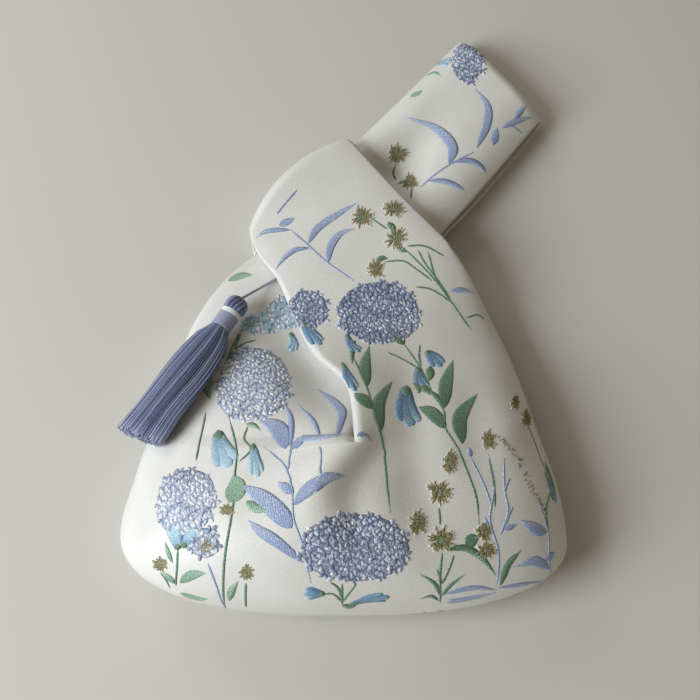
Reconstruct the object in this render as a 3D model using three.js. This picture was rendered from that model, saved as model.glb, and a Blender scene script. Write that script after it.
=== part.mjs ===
// Knot pouch of woven brocade, lying closed on its back.
// Two sewn panels each carry a long strap on the left and a short strap on the right. The two short
// straps meet at a fold and make a band, and the long strap pair passes through that band.
// A lining follows the brocade inside, and a silk tassel hangs from a cord at the long strap's root.
// Millimetres, +Z up, +Y from the base seam towards the long strap, resting on the plane z = 0.
import * as THREE from 'three';

// Cloth
const brocadeThickness = 1.2;
const liningThickness = 0.6;
const clearance = 0.3;
const layerGap = 1.9;

// Body of the pouch
const baseWidth = 204;
const bodyLength = 177;
const seamHeight = 20;
const bellyHeight = 61;
const pleatStep = 8;
const baseRounding = 45;
const backRounding = 28;
const neckRounding = 11;
const cornerPower = 2.4;

// Long strap, where it leaves the band, and its free end
const strapExit = [23, 218];
const strapAngle = 51.4;
const strapSlant = 14;
const strapReach = 104;
const strapRootWidth = 73;
const strapTipWidth = 68;
const strapHollow = 6.5;
const strapCrown = 9;
const strapDent = 8;
const strapCurl = 2.5;
const tipRounding = 8;
const tipSeamHeight = 7;

// Short strap, where it folds round the long one
const foldCentre = [-25, 225];
const foldAngle = 48.1;
const bandWidth = 72;
const foldBow = 9;
const foldRounding = 9;

// Tassel: the hinge is the end of the cord at the top of the head
const tasselPlace = [-0.48, 0.847];
const tasselHeight = 36;
const tasselHeading = [-25, -41, 0.4];
const headStart = 1.1;
const headLength = 9;
const headRadius = 5.6;
const bindingLength = 11;
const bindingRadius = 5.2;
const bindingTurns = 5;
const neckRadius = 3.8;
const skirtLength = 67;
const skirtWidth = 35;
const skirtThickness = 9;
const skirtSag = [-1.3, 4, -6];
const skirtRoll = 34;

// Cord of the tassel, its route given from the hinge
const cordDiameter = 1.3;
const cordSteps = 14;
const cordRoute = [
  [27, 18.6, -7.2], [19, 16.1, -7.2], [11.5, 11.1, -7], [5, 5.3, -4.2], [-0.2, -0.4, 0],
];

// Levels of the cloths stacked at the knot, from the table up
const clothStack = brocadeThickness + clearance + liningThickness;
const strapBackLevel = clothStack + layerGap;
const strapFrontLevel = strapBackLevel + 2 * clothStack + strapHollow;
const bandFrontLevel = strapFrontLevel + strapCrown + layerGap + clothStack;
const foldSeamHeight = bandFrontLevel / 2;

// Small helpers
const half = baseWidth / 2;
const at = (across, up) => [across * half, up * bodyLength];
const smooth = (from, to, x) => THREE.MathUtils.smoothstep(x, from, to);
const mix = THREE.MathUtils.lerp;
const heading = (degrees) => [
  Math.cos(THREE.MathUtils.degToRad(degrees)),
  Math.sin(THREE.MathUtils.degToRad(degrees)),
];

// Rises from 0 at a closing seam to 1 at the given distance, as a quarter round does
function rounding(distance, radius) {
  const short = Math.max(0, 1 - distance / radius);
  return Math.sqrt(1 - short * short);
}

// A curve through plan points, read at station numbers 0, 1, 2 and so on
function edge(points) {
  const curve = new THREE.CatmullRomCurve3(points.map(([x, y]) => new THREE.Vector3(x, y, 0)));
  return (station) => curve.getPoint(station / (points.length - 1));
}

// A value given at each station, on a smooth curve between them
function along(values) {
  const places = values.map((value) => new THREE.Vector3(value, 0, 0));
  const curve = new THREE.CatmullRomCurve3(places, false, 'catmullrom');
  return (station) => curve.getPoint(station / (values.length - 1)).x;
}

// The two edges of the long strap from the band to its tip, at four stations
function strapEdges() {
  const [dx, dy] = heading(strapAngle);
  const [ax, ay] = heading(strapAngle + 90 - strapSlant);
  return [0, 1, 2, 3].map((step) => {
    const share = step / 3;
    const reach = strapReach * share;
    const reachOut = mix(strapRootWidth, strapTipWidth, share) / 2;
    const x = strapExit[0] + dx * reach;
    const y = strapExit[1] + dy * reach;
    return { outer: [x + ax * reachOut, y + ay * reachOut], inner: [x - ax * reachOut, y - ay * reachOut] };
  });
}

// The two ends of the fold where the short straps of both panels meet
const [foldX, foldY] = heading(foldAngle);
const foldOuter = [foldCentre[0] + foldX * bandWidth / 2, foldCentre[1] + foldY * bandWidth / 2];
const foldInner = [foldCentre[0] - foldX * bandWidth / 2, foldCentre[1] - foldY * bandWidth / 2];

// The crest that both halves share, from the base seam to the bottom of the neckline
const crest = [at(-0.039, 0), at(-0.069, 0.068), at(-0.098, 0.158), at(-0.108, 0.271), at(0.049, 0.379)];
const neckStation = crest.length - 1;

// Left half: body, then the long strap
const strap = strapEdges();
const leftHalf = {
  side: -1,
  outer: edge([
    at(-1, 0.226), at(-0.992, 0.271), at(-0.961, 0.345), at(-0.931, 0.418), at(-0.892, 0.497),
    at(-0.873, 0.542), at(-0.814, 0.65), at(-0.725, 0.802), at(-0.549, 0.96), at(-0.304, 1.119),
    ...strap.map((end) => end.outer),
  ]),
  inner: edge([
    ...crest, at(0.045, 0.412), at(0.135, 0.508), at(0.275, 0.661), at(0.363, 0.814), at(0.402, 0.944),
    ...strap.map((end) => end.inner),
  ]),
  sewnTo: 7,
  sewnFade: 1.2,
  strapFrom: 6,
  strapBy: 9,
  endHeight: tipSeamHeight,
  endRounding: tipRounding,
  endBow: 0,
  rows: [0, 0.15, 0.45, 1, 1.6, 2.2, 2.8, 3.4, 3.75, 4, 5, 5.6, 6.3, 7, 7.5, 8, 8.5, 9, 9.5, 10,
    10.6, 11.3, 12, 12.5, 12.8, 12.95, 13],
};

// Right half: body, then the short strap that makes the band
const seamTop = at(0.549, 1);
const neckTop = at(-0.324, 0.915);
const rightHalf = {
  side: 1,
  outer: edge([
    at(1, 0.203), at(0.995, 0.26), at(0.971, 0.35), at(0.922, 0.452), at(0.873, 0.554),
    at(0.853, 0.599), at(0.794, 0.706), at(0.725, 0.808), at(0.647, 0.904), seamTop,
    [mix(seamTop[0], foldOuter[0], 0.5), mix(seamTop[1], foldOuter[1], 0.5)], foldOuter,
  ]),
  inner: edge([
    ...crest, at(0.049, 0.424), at(0.01, 0.559), at(-0.137, 0.661), at(-0.235, 0.785), neckTop,
    [mix(neckTop[0], foldInner[0], 0.7), mix(neckTop[1], foldInner[1], 0.5)], foldInner,
  ]),
  sewnTo: 9,
  sewnFade: 0.25,
  strapFrom: 7,
  strapBy: 10,
  endHeight: foldSeamHeight,
  endRounding: foldRounding,
  endBow: foldBow,
  rows: [0, 0.15, 0.45, 1, 1.6, 2.2, 2.8, 3.4, 3.75, 4, 5, 5.6, 6.3, 7, 7.6, 8.3, 9, 9.12, 9.25, 9.6, 10,
    10.5, 10.75, 10.9, 10.97, 11],
};
const columns = 8;

// Heights of the front cloth before its edges close
const bodyTop = bellyHeight - pleatStep;
const leftFrontShare = along([1, 1, 1, 1, 1, 0.95, 0.77, 0.46, 0.23, 0.06, 0, 0, 0, 0]);
const rightFrontShare = along([1, 1, 1, 1, 1, 0.97, 0.76, 0.5, 0.3, 0.16, 0.02, 0]);
const strapDrop = along([0, 0, 0, 0, 0, 0, 0, 0, 0, 0, 0, 0.15, 0.35, 0.5]);
const pleatShare = along([0, 0, 0.15, 0.5, 1, 1.4, 1.4, 1.4, 1.4, 1.4, 1.4, 1.4, 1.4, 1.4]);

function strapArch(across) {
  return 1 - Math.pow(Math.abs(2 * across - 1), 4);
}

function leftFrontHeight(station, across) {
  const strapLevel = strapFrontLevel - strapDrop(station) * strapBackLevel * 1.6;
  const level = mix(strapLevel, bodyTop, leftFrontShare(station));
  const joined = station <= neckStation ? smooth(0.9, 1, across) * pleatStep * pleatShare(station) : 0;
  const full = station <= neckStation ? pleatStep * (1 - pleatShare(station)) : 0;
  const arch = strapCrown * strapArch(across) * smooth(7, 9, station);
  const dentAcross = Math.exp(-Math.pow((across - 0.4) / 0.19, 2));
  const dent = strapDent * dentAcross * Math.exp(-Math.pow((station - 10.5) / 0.9, 2));
  return level + joined + full + arch - dent;
}

function rightFrontHeight(station, across) {
  const level = mix(bandFrontLevel, bellyHeight, rightFrontShare(station));
  return level + 2 * strapArch(across) * smooth(7, 9, station);
}

// Heights of the back cloth before its edges close
const liftFrom = along([1, 1, 1, 1, 1, 0.8, 0.6, 0.15, -0.15, -0.3, -0.3, -0.3, -0.3, -0.3]);
const liftShare = along([0, 0, 0, 0, 0, 1, 1, 1, 1, 1, 1, 0.5, 0.12, 0]);

function leftBackHeight(station, across) {
  const start = liftFrom(station);
  const curl = strapCurl * Math.pow(2 * across - 1, 4) * smooth(7.5, 9, station) * (1 - smooth(10.5, 11.5, station));
  return strapBackLevel * liftShare(station) * smooth(start, start + 0.2, across) + curl;
}

function rightBackHeight() {
  return 0;
}

// One half of a panel as a grid of points, rows from the base and columns from the outer edge
function halfSheet(shape, heightAt, isFront) {
  const last = shape.rows[shape.rows.length - 1];
  const seamShift = (isFront ? 1 : -1) * clearance / 2;
  const planRow = (station) => {
    const outer = shape.outer(station);
    const inner = shape.inner(station);
    const strapLike = smooth(shape.strapFrom, shape.strapBy, station);
    const bow = shape.endBow * smooth(shape.strapFrom, last, station);
    const normal = new THREE.Vector2(inner.y - outer.y, outer.x - inner.x).normalize().multiplyScalar(shape.side);
    return Array.from({ length: columns + 1 }, (_, column) => {
      const across = column / columns;
      const turn = across * Math.PI / 2;
      const a = mix(1 - Math.pow(Math.cos(turn), 2 / cornerPower), across, strapLike);
      const b = mix(Math.pow(Math.sin(turn), 2 / cornerPower), across, strapLike);
      const bulge = bow * (1 - Math.pow(2 * across - 1, 2));
      return new THREE.Vector3(
        mix(outer.x, inner.x, a) + normal.x * bulge,
        mix(outer.y, inner.y, b) + normal.y * bulge,
        rounding(a, 1),
      );
    });
  };
  const baseRow = planRow(0);
  const endRow = planRow(last);
  return shape.rows.map((station) => planRow(station).map((place, column, row) => {
    const flat = (other) => Math.hypot(place.x - other.x, place.y - other.y);
    const sewn = 1 - smooth(shape.sewnTo, shape.sewnTo + shape.sewnFade, station);
    const frontSide = mix(place.z, 1, smooth(shape.strapFrom, shape.strapBy, station));
    const backRadius = mix(backRounding, neckRounding, smooth(shape.sewnTo - 3, shape.sewnTo, station));
    const side = mix(1, isFront ? frontSide : rounding(flat(row[0]), backRadius), sewn);
    const base = rounding(flat(baseRow[column]), isFront ? baseRounding : backRounding);
    const end = rounding(flat(endRow[column]), shape.endRounding);
    const nearEnd = smooth(shape.sewnTo, last, station);
    const seam = mix(seamHeight, shape.endHeight, nearEnd) + seamShift;
    const across = column / columns;
    const point = new THREE.Vector3(place.x, place.y, mix(seam, heightAt(station, across), side * base * end));
    point.onSeam = station === 0 || station === last || (column === 0 && station <= shape.sewnTo);
    return point;
  }));
}

// Both halves of a panel welded along the crest into one open surface
function panelSurface(leftGrid, rightGrid, isFront) {
  const joinedRows = leftHalf.rows.indexOf(neckStation);
  const points = [];
  const triangles = [];
  const number = (grid) => grid.map((row) => row.map((point) => points.push(point) - 1));
  const left = number(leftGrid);
  const right = number(rightGrid);
  for (let row = 0; row <= joinedRows; row += 1) right[row][columns] = left[row][columns];
  const tile = (ids, turned) => {
    for (let row = 0; row + 1 < ids.length; row += 1) {
      for (let column = 0; column < columns; column += 1) {
        const [a, b] = [ids[row][column], ids[row][column + 1]];
        const [d, c] = [ids[row + 1][column], ids[row + 1][column + 1]];
        triangles.push(...(turned ? [[a, c, b], [a, d, c]] : [[a, b, c], [a, c, d]]));
      }
    }
  };
  tile(left, !isFront);
  tile(right, isFront);
  return { points, triangles };
}

// A closed cloth between two depths under a surface, with walls along every free edge
function cloth({ points, triangles }, fromDepth, toDepth) {
  const normals = points.map(() => new THREE.Vector3());
  for (const [a, b, c] of triangles) {
    const ab = points[b].clone().sub(points[a]);
    const ac = points[c].clone().sub(points[a]);
    const face = ab.cross(ac);
    for (const corner of [a, b, c]) normals[corner].add(face);
  }
  normals.forEach((normal, index) => {
    if (points[index].onSeam) normal.z = 0;
    normal.normalize();
  });
  const sunk = (depth) => points.map((point, index) => point.clone().addScaledVector(normals[index], -depth));
  const faces = triangles.map((corners) => [...corners]);
  const under = points.length;
  const directed = new Set(triangles.flatMap(([a, b, c]) => [`${a},${b}`, `${b},${c}`, `${c},${a}`]));
  for (const [a, b, c] of triangles) faces.push([under + a, under + c, under + b]);
  for (const step of directed) {
    const [from, to] = step.split(',').map(Number);
    if (directed.has(`${to},${from}`)) continue;
    faces.push([to, from, under + from], [to, under + from, under + to]);
  }
  return solidGeometry([...sunk(fromDepth), ...sunk(toDepth)], faces);
}

function solidGeometry(points, faces) {
  const used = [...new Set(faces.flat())].sort((a, b) => a - b);
  const renumbered = new Map(used.map((old, index) => [old, index]));
  const geometry = new THREE.BufferGeometry();
  const places = used.flatMap((index) => points[index].toArray());
  geometry.setAttribute('position', new THREE.Float32BufferAttribute(places, 3));
  geometry.setIndex(faces.flat().map((index) => renumbered.get(index)));
  geometry.computeVertexNormals();
  return geometry;
}

const brocadeFinish = new THREE.MeshStandardMaterial({ color: 0xe3e1df, roughness: 0.45, metalness: 0 });
const liningFinish = new THREE.MeshStandardMaterial({ color: 0xd9d6d2, roughness: 0.6, metalness: 0 });
const silkFinish = new THREE.MeshStandardMaterial({ color: 0x767fa6, roughness: 0.4, metalness: 0 });
const bindingFinish = new THREE.MeshStandardMaterial({ color: 0x8f95b2, roughness: 0.35, metalness: 0 });

function named(name, geometry, material) {
  const mesh = new THREE.Mesh(geometry, material);
  mesh.name = name;
  return mesh;
}

const frontSurface = panelSurface(
  halfSheet(leftHalf, leftFrontHeight, true), halfSheet(rightHalf, rightFrontHeight, true), true);
const backSurface = panelSurface(
  halfSheet(leftHalf, leftBackHeight, false), halfSheet(rightHalf, rightBackHeight, false), false);
const liningTop = brocadeThickness + clearance;

// Tassel pieces, each made of rings set along the tassel's middle line
const tasselStart = new THREE.Vector3(...at(...tasselPlace), tasselHeight);
const tasselAxis = new THREE.Vector3(...tasselHeading).normalize();
const tasselSide = new THREE.Vector3(-tasselAxis.y, tasselAxis.x, 0).normalize();

// A ring of points round the middle line at a distance from the hinge
function tasselRing(reach, halfWidth, halfHeight, ridge, sides) {
  const drape = Math.max(0, (reach - headLength - bindingLength) / skirtLength);
  const centre = tasselStart.clone().addScaledVector(tasselAxis, reach);
  centre.addScaledVector(new THREE.Vector3(...skirtSag), drape * drape);
  const roll = THREE.MathUtils.degToRad(skirtRoll) * smooth(0, 0.8, drape);
  const up = new THREE.Vector3().crossVectors(tasselSide, tasselAxis).normalize();
  if (up.z < 0) up.negate();
  const wide = tasselSide.clone().multiplyScalar(Math.cos(roll)).addScaledVector(up, Math.sin(roll));
  const tall = up.clone().multiplyScalar(Math.cos(roll)).addScaledVector(tasselSide, -Math.sin(roll));
  return Array.from({ length: sides }, (_, index) => {
    const turn = index / sides * Math.PI * 2;
    const swell = index % 2 ? 1 - ridge : 1;
    return centre.clone()
      .addScaledVector(wide, Math.cos(turn) * halfWidth * swell)
      .addScaledVector(tall, Math.sin(turn) * halfHeight * swell);
  });
}

// A closed body through rings, either capped at both ends or bored through
function ringBody(rings, bored) {
  const sides = rings[0].length;
  const points = rings.flat();
  const faces = [];
  const loops = bored ? rings.length : rings.length - 1;
  for (let ring = 0; ring < loops; ring += 1) {
    const near = ring * sides;
    const far = ((ring + 1) % rings.length) * sides;
    for (let index = 0; index < sides; index += 1) {
      const next = (index + 1) % sides;
      faces.push([near + index, near + next, far + next], [near + index, far + next, far + index]);
    }
  }
  const capped = (start, turned) => {
    const middle = new THREE.Vector3();
    for (let index = 0; index < sides; index += 1) middle.addScaledVector(points[start + index], 1 / sides);
    const centre = points.push(middle) - 1;
    for (let index = 0; index < sides; index += 1) {
      const next = (index + 1) % sides;
      faces.push(turned ? [centre, start + next, start + index] : [centre, start + index, start + next]);
    }
  };
  if (!bored) {
    capped(0, true);
    capped((rings.length - 1) * sides, false);
  }
  const geometry = solidGeometry(points, faces);
  if (signedVolume(points, faces) > 0) return geometry;
  return solidGeometry(points, faces.map(([a, b, c]) => [a, c, b]));
}

function signedVolume(points, faces) {
  const scratch = new THREE.Vector3();
  return faces.reduce((sum, [a, b, c]) => sum + points[a].dot(scratch.crossVectors(points[b], points[c])), 0);
}

// Head: a dome of threads drawn over the cord's end
function headGeometry() {
  const shape = [[0, 0.2], [0.1, 0.6], [0.33, 0.92], [0.65, 1], [0.88, 0.94], [1, 0.8]];
  return ringBody(shape.map(([share, size]) => {
    const radius = headRadius * size;
    return tasselRing(headStart + share * (headLength - headStart), radius, radius, 0.05, 20);
  }), false);
}

// Binding: thread wound round the neck of the skirt, one swelling for each turn of thread
function bindingGeometry() {
  const start = headLength + clearance;
  const length = bindingLength - clearance;
  const outside = Array.from({ length: bindingTurns * 2 + 1 }, (_, step) => {
    const radius = bindingRadius * (step % 2 ? 1 : 0.93);
    return tasselRing(start + length * step / (bindingTurns * 2), radius, radius, 0, 20);
  });
  const bore = neckRadius + clearance;
  const inside = [start + length, start].map((reach) => tasselRing(reach, bore, bore, 0, 20));
  return ringBody([...outside, ...inside], true);
}

// Skirt: the fall of threads from the neck inside the binding to the cut ends
function skirtGeometry() {
  const neck = [headLength + clearance, headLength + bindingLength + clearance];
  const rings = neck.map((reach) => tasselRing(reach, neckRadius, neckRadius, 0, 28));
  for (const share of [0.05, 0.15, 0.3, 0.45, 0.6, 0.75, 0.9, 1]) {
    const spread = Math.pow(share, 0.8);
    const halfWidth = mix(bindingRadius, skirtWidth / 2, spread);
    const halfHeight = mix(bindingRadius, skirtThickness / 2, spread);
    rings.push(tasselRing(headLength + bindingLength + skirtLength * share, halfWidth, halfHeight, 0.1, 28));
  }
  return ringBody(rings, false);
}

// Cord from the strap's root, under the band, to the head of the tassel
function cordGeometry() {
  const places = cordRoute.map((place) => new THREE.Vector3(...place).add(tasselStart));
  const route = new THREE.CatmullRomCurve3(places);
  const outline = new THREE.Shape().absarc(0, 0, cordDiameter / 2, 0, Math.PI * 2);
  const settings = { steps: cordSteps, curveSegments: 8, extrudePath: route, bevelEnabled: false };
  return new THREE.ExtrudeGeometry(outline, settings);
}

const pouch = new THREE.Group();
pouch.add(
  named('outer_front', cloth(frontSurface, 0, brocadeThickness), brocadeFinish),
  named('outer_back', cloth(backSurface, 0, brocadeThickness), brocadeFinish),
  named('lining_front', cloth(frontSurface, liningTop, clothStack), liningFinish),
  named('lining_back', cloth(backSurface, liningTop, clothStack), liningFinish),
  named('tassel_cord', cordGeometry(), silkFinish),
  named('tassel_head', headGeometry(), silkFinish),
  named('tassel_binding', bindingGeometry(), bindingFinish),
  named('tassel_skirt', skirtGeometry(), silkFinish),
);

// The middle of the base of the whole is the origin
const extent = new THREE.Box3().setFromObject(pouch);
pouch.children.forEach((piece) => {
  piece.geometry.translate(-(extent.min.x + extent.max.x) / 2, -(extent.min.y + extent.max.y) / 2, 0);
});

export default pouch;
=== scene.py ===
# %% [markdown]
# # A brocade knot bag with a tassel
# The bag lies closed on its back. Its long strap is drawn through its short strap, and a silk tassel lies
# on the left shoulder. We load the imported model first, because every piece made here sits in its frame, in
# metres.

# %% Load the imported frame
import bpy
import math
import random
import numpy as np
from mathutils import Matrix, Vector
from mathutils.bvhtree import BVHTree
from mathutils.geometry import barycentric_transform


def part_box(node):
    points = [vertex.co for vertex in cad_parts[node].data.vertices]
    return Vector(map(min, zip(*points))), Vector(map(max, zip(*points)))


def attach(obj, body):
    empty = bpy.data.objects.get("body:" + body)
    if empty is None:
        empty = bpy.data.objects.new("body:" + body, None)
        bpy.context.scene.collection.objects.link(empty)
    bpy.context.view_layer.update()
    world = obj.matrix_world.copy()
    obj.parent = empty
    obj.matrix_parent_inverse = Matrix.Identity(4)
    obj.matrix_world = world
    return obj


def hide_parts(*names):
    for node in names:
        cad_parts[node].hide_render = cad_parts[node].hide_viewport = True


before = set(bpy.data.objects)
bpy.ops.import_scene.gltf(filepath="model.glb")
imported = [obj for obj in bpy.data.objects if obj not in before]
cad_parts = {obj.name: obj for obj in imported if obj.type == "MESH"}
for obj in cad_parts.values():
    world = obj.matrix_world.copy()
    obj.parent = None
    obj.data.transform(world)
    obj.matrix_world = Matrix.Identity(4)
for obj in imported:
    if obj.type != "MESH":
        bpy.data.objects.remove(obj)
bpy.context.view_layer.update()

MM = 0.001
front_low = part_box("outer_front")[0]
HALF_BASE = 102.0
SHIFT = np.array([front_low[0] / MM + HALF_BASE, front_low[1] / MM, 0.0])
print("drawing frame to packed frame, mm:", SHIFT.round(2))

# %% [markdown]
# ## View, floor and light
# The bag is seen from a raised seat, looking down at 66 degrees. The light is a broad window on the left, a
# weaker one at the far left and a warm pale room, so the left of the bag is bright and the right falls into
# soft shade.

# %% Camera, floor and light
scene = bpy.context.scene
scene.view_settings.view_transform = "Standard"


def linear(red, green, blue):
    """Turn a colour, 0 to 255, into the linear values a shader wants."""
    parts = [channel / 255 for channel in (red, green, blue)]
    return tuple(p / 12.92 if p <= 0.04045 else ((p + 0.055) / 1.055) ** 2.4 for p in parts) + (1.0,)


def blank_finish(name, roughness):
    """Start a material, and hand over its nodes, its links and its shader."""
    finish = bpy.data.materials.new(name)
    finish.use_nodes = True
    nodes = finish.node_tree.nodes
    shader = nodes["Principled BSDF"]
    shader.inputs["Roughness"].default_value = roughness
    return finish, nodes, finish.node_tree.links, shader


VIEW_TILT = math.radians(66)
VIEW_DISTANCE = 0.585
VIEW_CENTRE = (3.0, 138.0)
LENS, SENSOR_WIDTH = 59.14, 36.0
FLOOR_COLOUR, FLOOR_SIZE = (206, 202, 196), 6
look_at = Vector(((SHIFT[0] + VIEW_CENTRE[0]) * MM, (SHIFT[1] + VIEW_CENTRE[1]) * MM, 0.0))
camera_data = bpy.data.cameras.new("seat_view")
camera_data.lens = LENS
camera_data.sensor_width = SENSOR_WIDTH
camera = bpy.data.objects.new("seat_view", camera_data)
scene.collection.objects.link(camera)
camera.location = look_at + Vector((0, -math.cos(VIEW_TILT), math.sin(VIEW_TILT))) * VIEW_DISTANCE
camera.rotation_euler = (math.pi / 2 - VIEW_TILT, 0, 0)
scene.camera = camera

bpy.ops.object.select_all(action="DESELECT")
bpy.ops.mesh.primitive_plane_add(size=FLOOR_SIZE)
floor = bpy.context.object
floor.name = "floor"
floor_finish, _, _, floor_shader = blank_finish("pale_floor", 0.55)
floor_shader.inputs["Base Color"].default_value = linear(*FLOOR_COLOUR)
floor.data.materials.append(floor_finish)


def soft_lamp(name, place, aim, size, watts, tint):
    """Hang one square lamp at a place and turn it towards a point; places are in metres."""
    lamp_data = bpy.data.lights.new(name, "AREA")
    lamp_data.size = size
    lamp_data.energy = watts
    lamp_data.color = tint
    lamp = bpy.data.objects.new(name, lamp_data)
    scene.collection.objects.link(lamp)
    lamp.location = place
    lamp.rotation_euler = (Vector(aim) - Vector(place)).to_track_quat("-Z", "Y").to_euler()


LAMP_AIM = (0, 0, 0.02)
ROOM_TINT, ROOM_STRENGTH = (1.0, 0.89, 0.66, 1), 0.21
soft_lamp("window", (-1.15, -0.52, 0.82), LAMP_AIM, 0.9, 24, (0.9, 0.97, 1.0))
soft_lamp("far_window", (-0.9, 1.0, 0.8), LAMP_AIM, 0.7, 4.5, (0.96, 0.98, 1.0))
world = bpy.data.worlds.new("room")
world.use_nodes = True
room_light = world.node_tree.nodes["Background"]
room_light.inputs["Color"].default_value = ROOM_TINT
room_light.inputs["Strength"].default_value = ROOM_STRENGTH
scene.world = world
print("camera", [round(v, 3) for v in camera.location], "lens", camera_data.lens)

# %% [markdown]
# ## Where the cloth lies
# Each panel is one cloth with two straps, so it is drawn as two strips: a left strip that runs on into the
# long strap, and a right strip that runs on into the short strap. A strip has an outer edge and an inner
# edge, given at numbered stations. Rows of points cross it from edge to edge, and each row rises from its
# seam like a quarter round.

# %% Sizes of the bag, in millimetres
BROCADE, LINING, CLEARANCE, LAYER_GAP = 1.2, 0.6, 0.3, 1.9
BODY_LENGTH, SEAM_HEIGHT, BELLY_HEIGHT, PLEAT_STEP = 177.0, 20.0, 61.0, 8.0
BASE_ROUNDING, BACK_ROUNDING, NECK_ROUNDING, CORNER_POWER = 45.0, 28.0, 11.0, 2.4
STRAP_EXIT, STRAP_ANGLE, STRAP_SLANT, STRAP_REACH = (23.0, 218.0), 51.4, 14.0, 104.0
STRAP_ROOT_WIDTH, STRAP_TIP_WIDTH = 73.0, 68.0
STRAP_HOLLOW, STRAP_CROWN, STRAP_DENT, STRAP_CURL = 6.5, 9.0, 8.0, 2.5
TIP_ROUNDING, TIP_SEAM_HEIGHT = 8.0, 7.0
FOLD_CENTRE, FOLD_ANGLE, BAND_WIDTH, FOLD_BOW, FOLD_ROUNDING = (-25.0, 225.0), 48.1, 72.0, 9.0, 9.0
CLOTH_STACK = BROCADE + CLEARANCE + LINING
STRAP_BACK = CLOTH_STACK + LAYER_GAP
STRAP_FRONT = STRAP_BACK + 2 * CLOTH_STACK + STRAP_HOLLOW
BAND_FRONT = STRAP_FRONT + STRAP_CROWN + LAYER_GAP + CLOTH_STACK
SEAM_GAP = 0.05
NECK = 4.0
print("knot levels, mm:", round(STRAP_BACK, 1), round(STRAP_FRONT, 1), round(BAND_FRONT, 1))


# %% Curves through stations
def ease(low, high, value):
    """Go smoothly from 0 at low to 1 at high."""
    share = np.clip((np.asarray(value, float) - low) / (high - low), 0, 1)
    return share * share * (3 - 2 * share)


def mix(low, high, share):
    """Go from low to high by a share."""
    return low + (high - low) * share


def rounding(distance, radius):
    """Rise from 0 at a closing seam to 1 at the given distance, as a quarter round does."""
    short = np.maximum(0, 1 - np.asarray(distance) / radius)
    return np.sqrt(np.maximum(0, 1 - short * short))


def through(points, stations, even):
    """Read a smooth curve through points at station numbers; even gives every span the same pace."""
    given = np.array(points, float).reshape(len(points), -1)
    padded = np.vstack([2 * given[0] - given[1], given, 2 * given[-1] - given[-2]])
    places = []
    for station in np.atleast_1d(stations):
        span = min(int(station), len(given) - 2)
        w = station - span
        p0, p1, p2, p3 = padded[span:span + 4]
        if even:
            leave, arrive = 0.5 * (p2 - p0), 0.5 * (p3 - p1)
        else:
            d0, d1, d2 = (max(np.linalg.norm(b - a), 1e-6) ** 0.5 for a, b in ((p0, p1), (p1, p2), (p2, p3)))
            leave = ((p1 - p0) / d0 - (p2 - p0) / (d0 + d1) + (p2 - p1) / d1) * d1
            arrive = ((p2 - p1) / d1 - (p3 - p1) / (d1 + d2) + (p3 - p2) / d2) * d1
        places.append(p1 + leave * w + (3 * (p2 - p1) - 2 * leave - arrive) * w ** 2
                      + (2 * (p1 - p2) + leave + arrive) * w ** 3)
    return np.array(places)


def heading(degrees):
    """Give the direction of a compass angle, counted from +X."""
    return np.array([math.cos(math.radians(degrees)), math.sin(math.radians(degrees))])


# %% Edges of the two strips
strap_line, strap_row = heading(STRAP_ANGLE), heading(STRAP_ANGLE + 90 - STRAP_SLANT)
strap_outer, strap_inner = [], []
for share in (0, 1 / 3, 2 / 3, 1):
    middle = np.array(STRAP_EXIT) + strap_line * STRAP_REACH * share
    reach = (STRAP_ROOT_WIDTH + (STRAP_TIP_WIDTH - STRAP_ROOT_WIDTH) * share) / 2
    strap_outer.append(middle + strap_row * reach)
    strap_inner.append(middle - strap_row * reach)
fold_outer = np.array(FOLD_CENTRE) + heading(FOLD_ANGLE) * BAND_WIDTH / 2
fold_inner = np.array(FOLD_CENTRE) - heading(FOLD_ANGLE) * BAND_WIDTH / 2


def at(across, up):
    """A place given as shares of half the base's width and of the body's length."""
    return np.array([across * HALF_BASE, up * BODY_LENGTH])


CREST = [at(-0.039, 0), at(-0.069, 0.068), at(-0.098, 0.158), at(-0.108, 0.271), at(0.049, 0.379)]
LEFT_OUTER = [at(-1, 0.226), at(-0.992, 0.271), at(-0.961, 0.345), at(-0.931, 0.418), at(-0.892, 0.497),
              at(-0.873, 0.542), at(-0.814, 0.65), at(-0.725, 0.802), at(-0.549, 0.96),
              at(-0.304, 1.119)] + strap_outer
LEFT_INNER = CREST + [at(0.045, 0.412), at(0.135, 0.508), at(0.275, 0.661), at(0.363, 0.814),
                      at(0.402, 0.944)] + strap_inner
seam_top, neck_top = at(0.549, 1), at(-0.324, 0.915)
RIGHT_OUTER = [at(1, 0.203), at(0.995, 0.26), at(0.971, 0.35), at(0.922, 0.452), at(0.873, 0.554),
               at(0.853, 0.599), at(0.794, 0.706), at(0.725, 0.808), at(0.647, 0.904), seam_top,
               (seam_top + fold_outer) / 2, fold_outer]
band_near = neck_top + (fold_inner - neck_top) * np.array([0.7, 0.5])
RIGHT_INNER = CREST + [at(0.049, 0.424), at(0.01, 0.559), at(-0.137, 0.661), at(-0.235, 0.785), neck_top,
                       band_near, fold_inner]
LEFT = dict(side=-1, outer=LEFT_OUTER, inner=LEFT_INNER, sewn_to=7, sewn_fade=1.2, strap_from=6, strap_by=9,
            last=13, end_height=TIP_SEAM_HEIGHT, end_rounding=TIP_ROUNDING, bow=0.0)
RIGHT = dict(side=1, outer=RIGHT_OUTER, inner=RIGHT_INNER, sewn_to=9, sewn_fade=0.25, strap_from=7,
             strap_by=10, last=11, end_height=BAND_FRONT / 2, end_rounding=FOLD_ROUNDING, bow=FOLD_BOW)
print("strap tip corners", strap_outer[-1].round(1), strap_inner[-1].round(1))


# %% Heights of the cloth before its edges close
def arch(across):
    """A flat-topped rise from edge to edge."""
    return 1 - np.abs(2 * across - 1) ** 4


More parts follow.
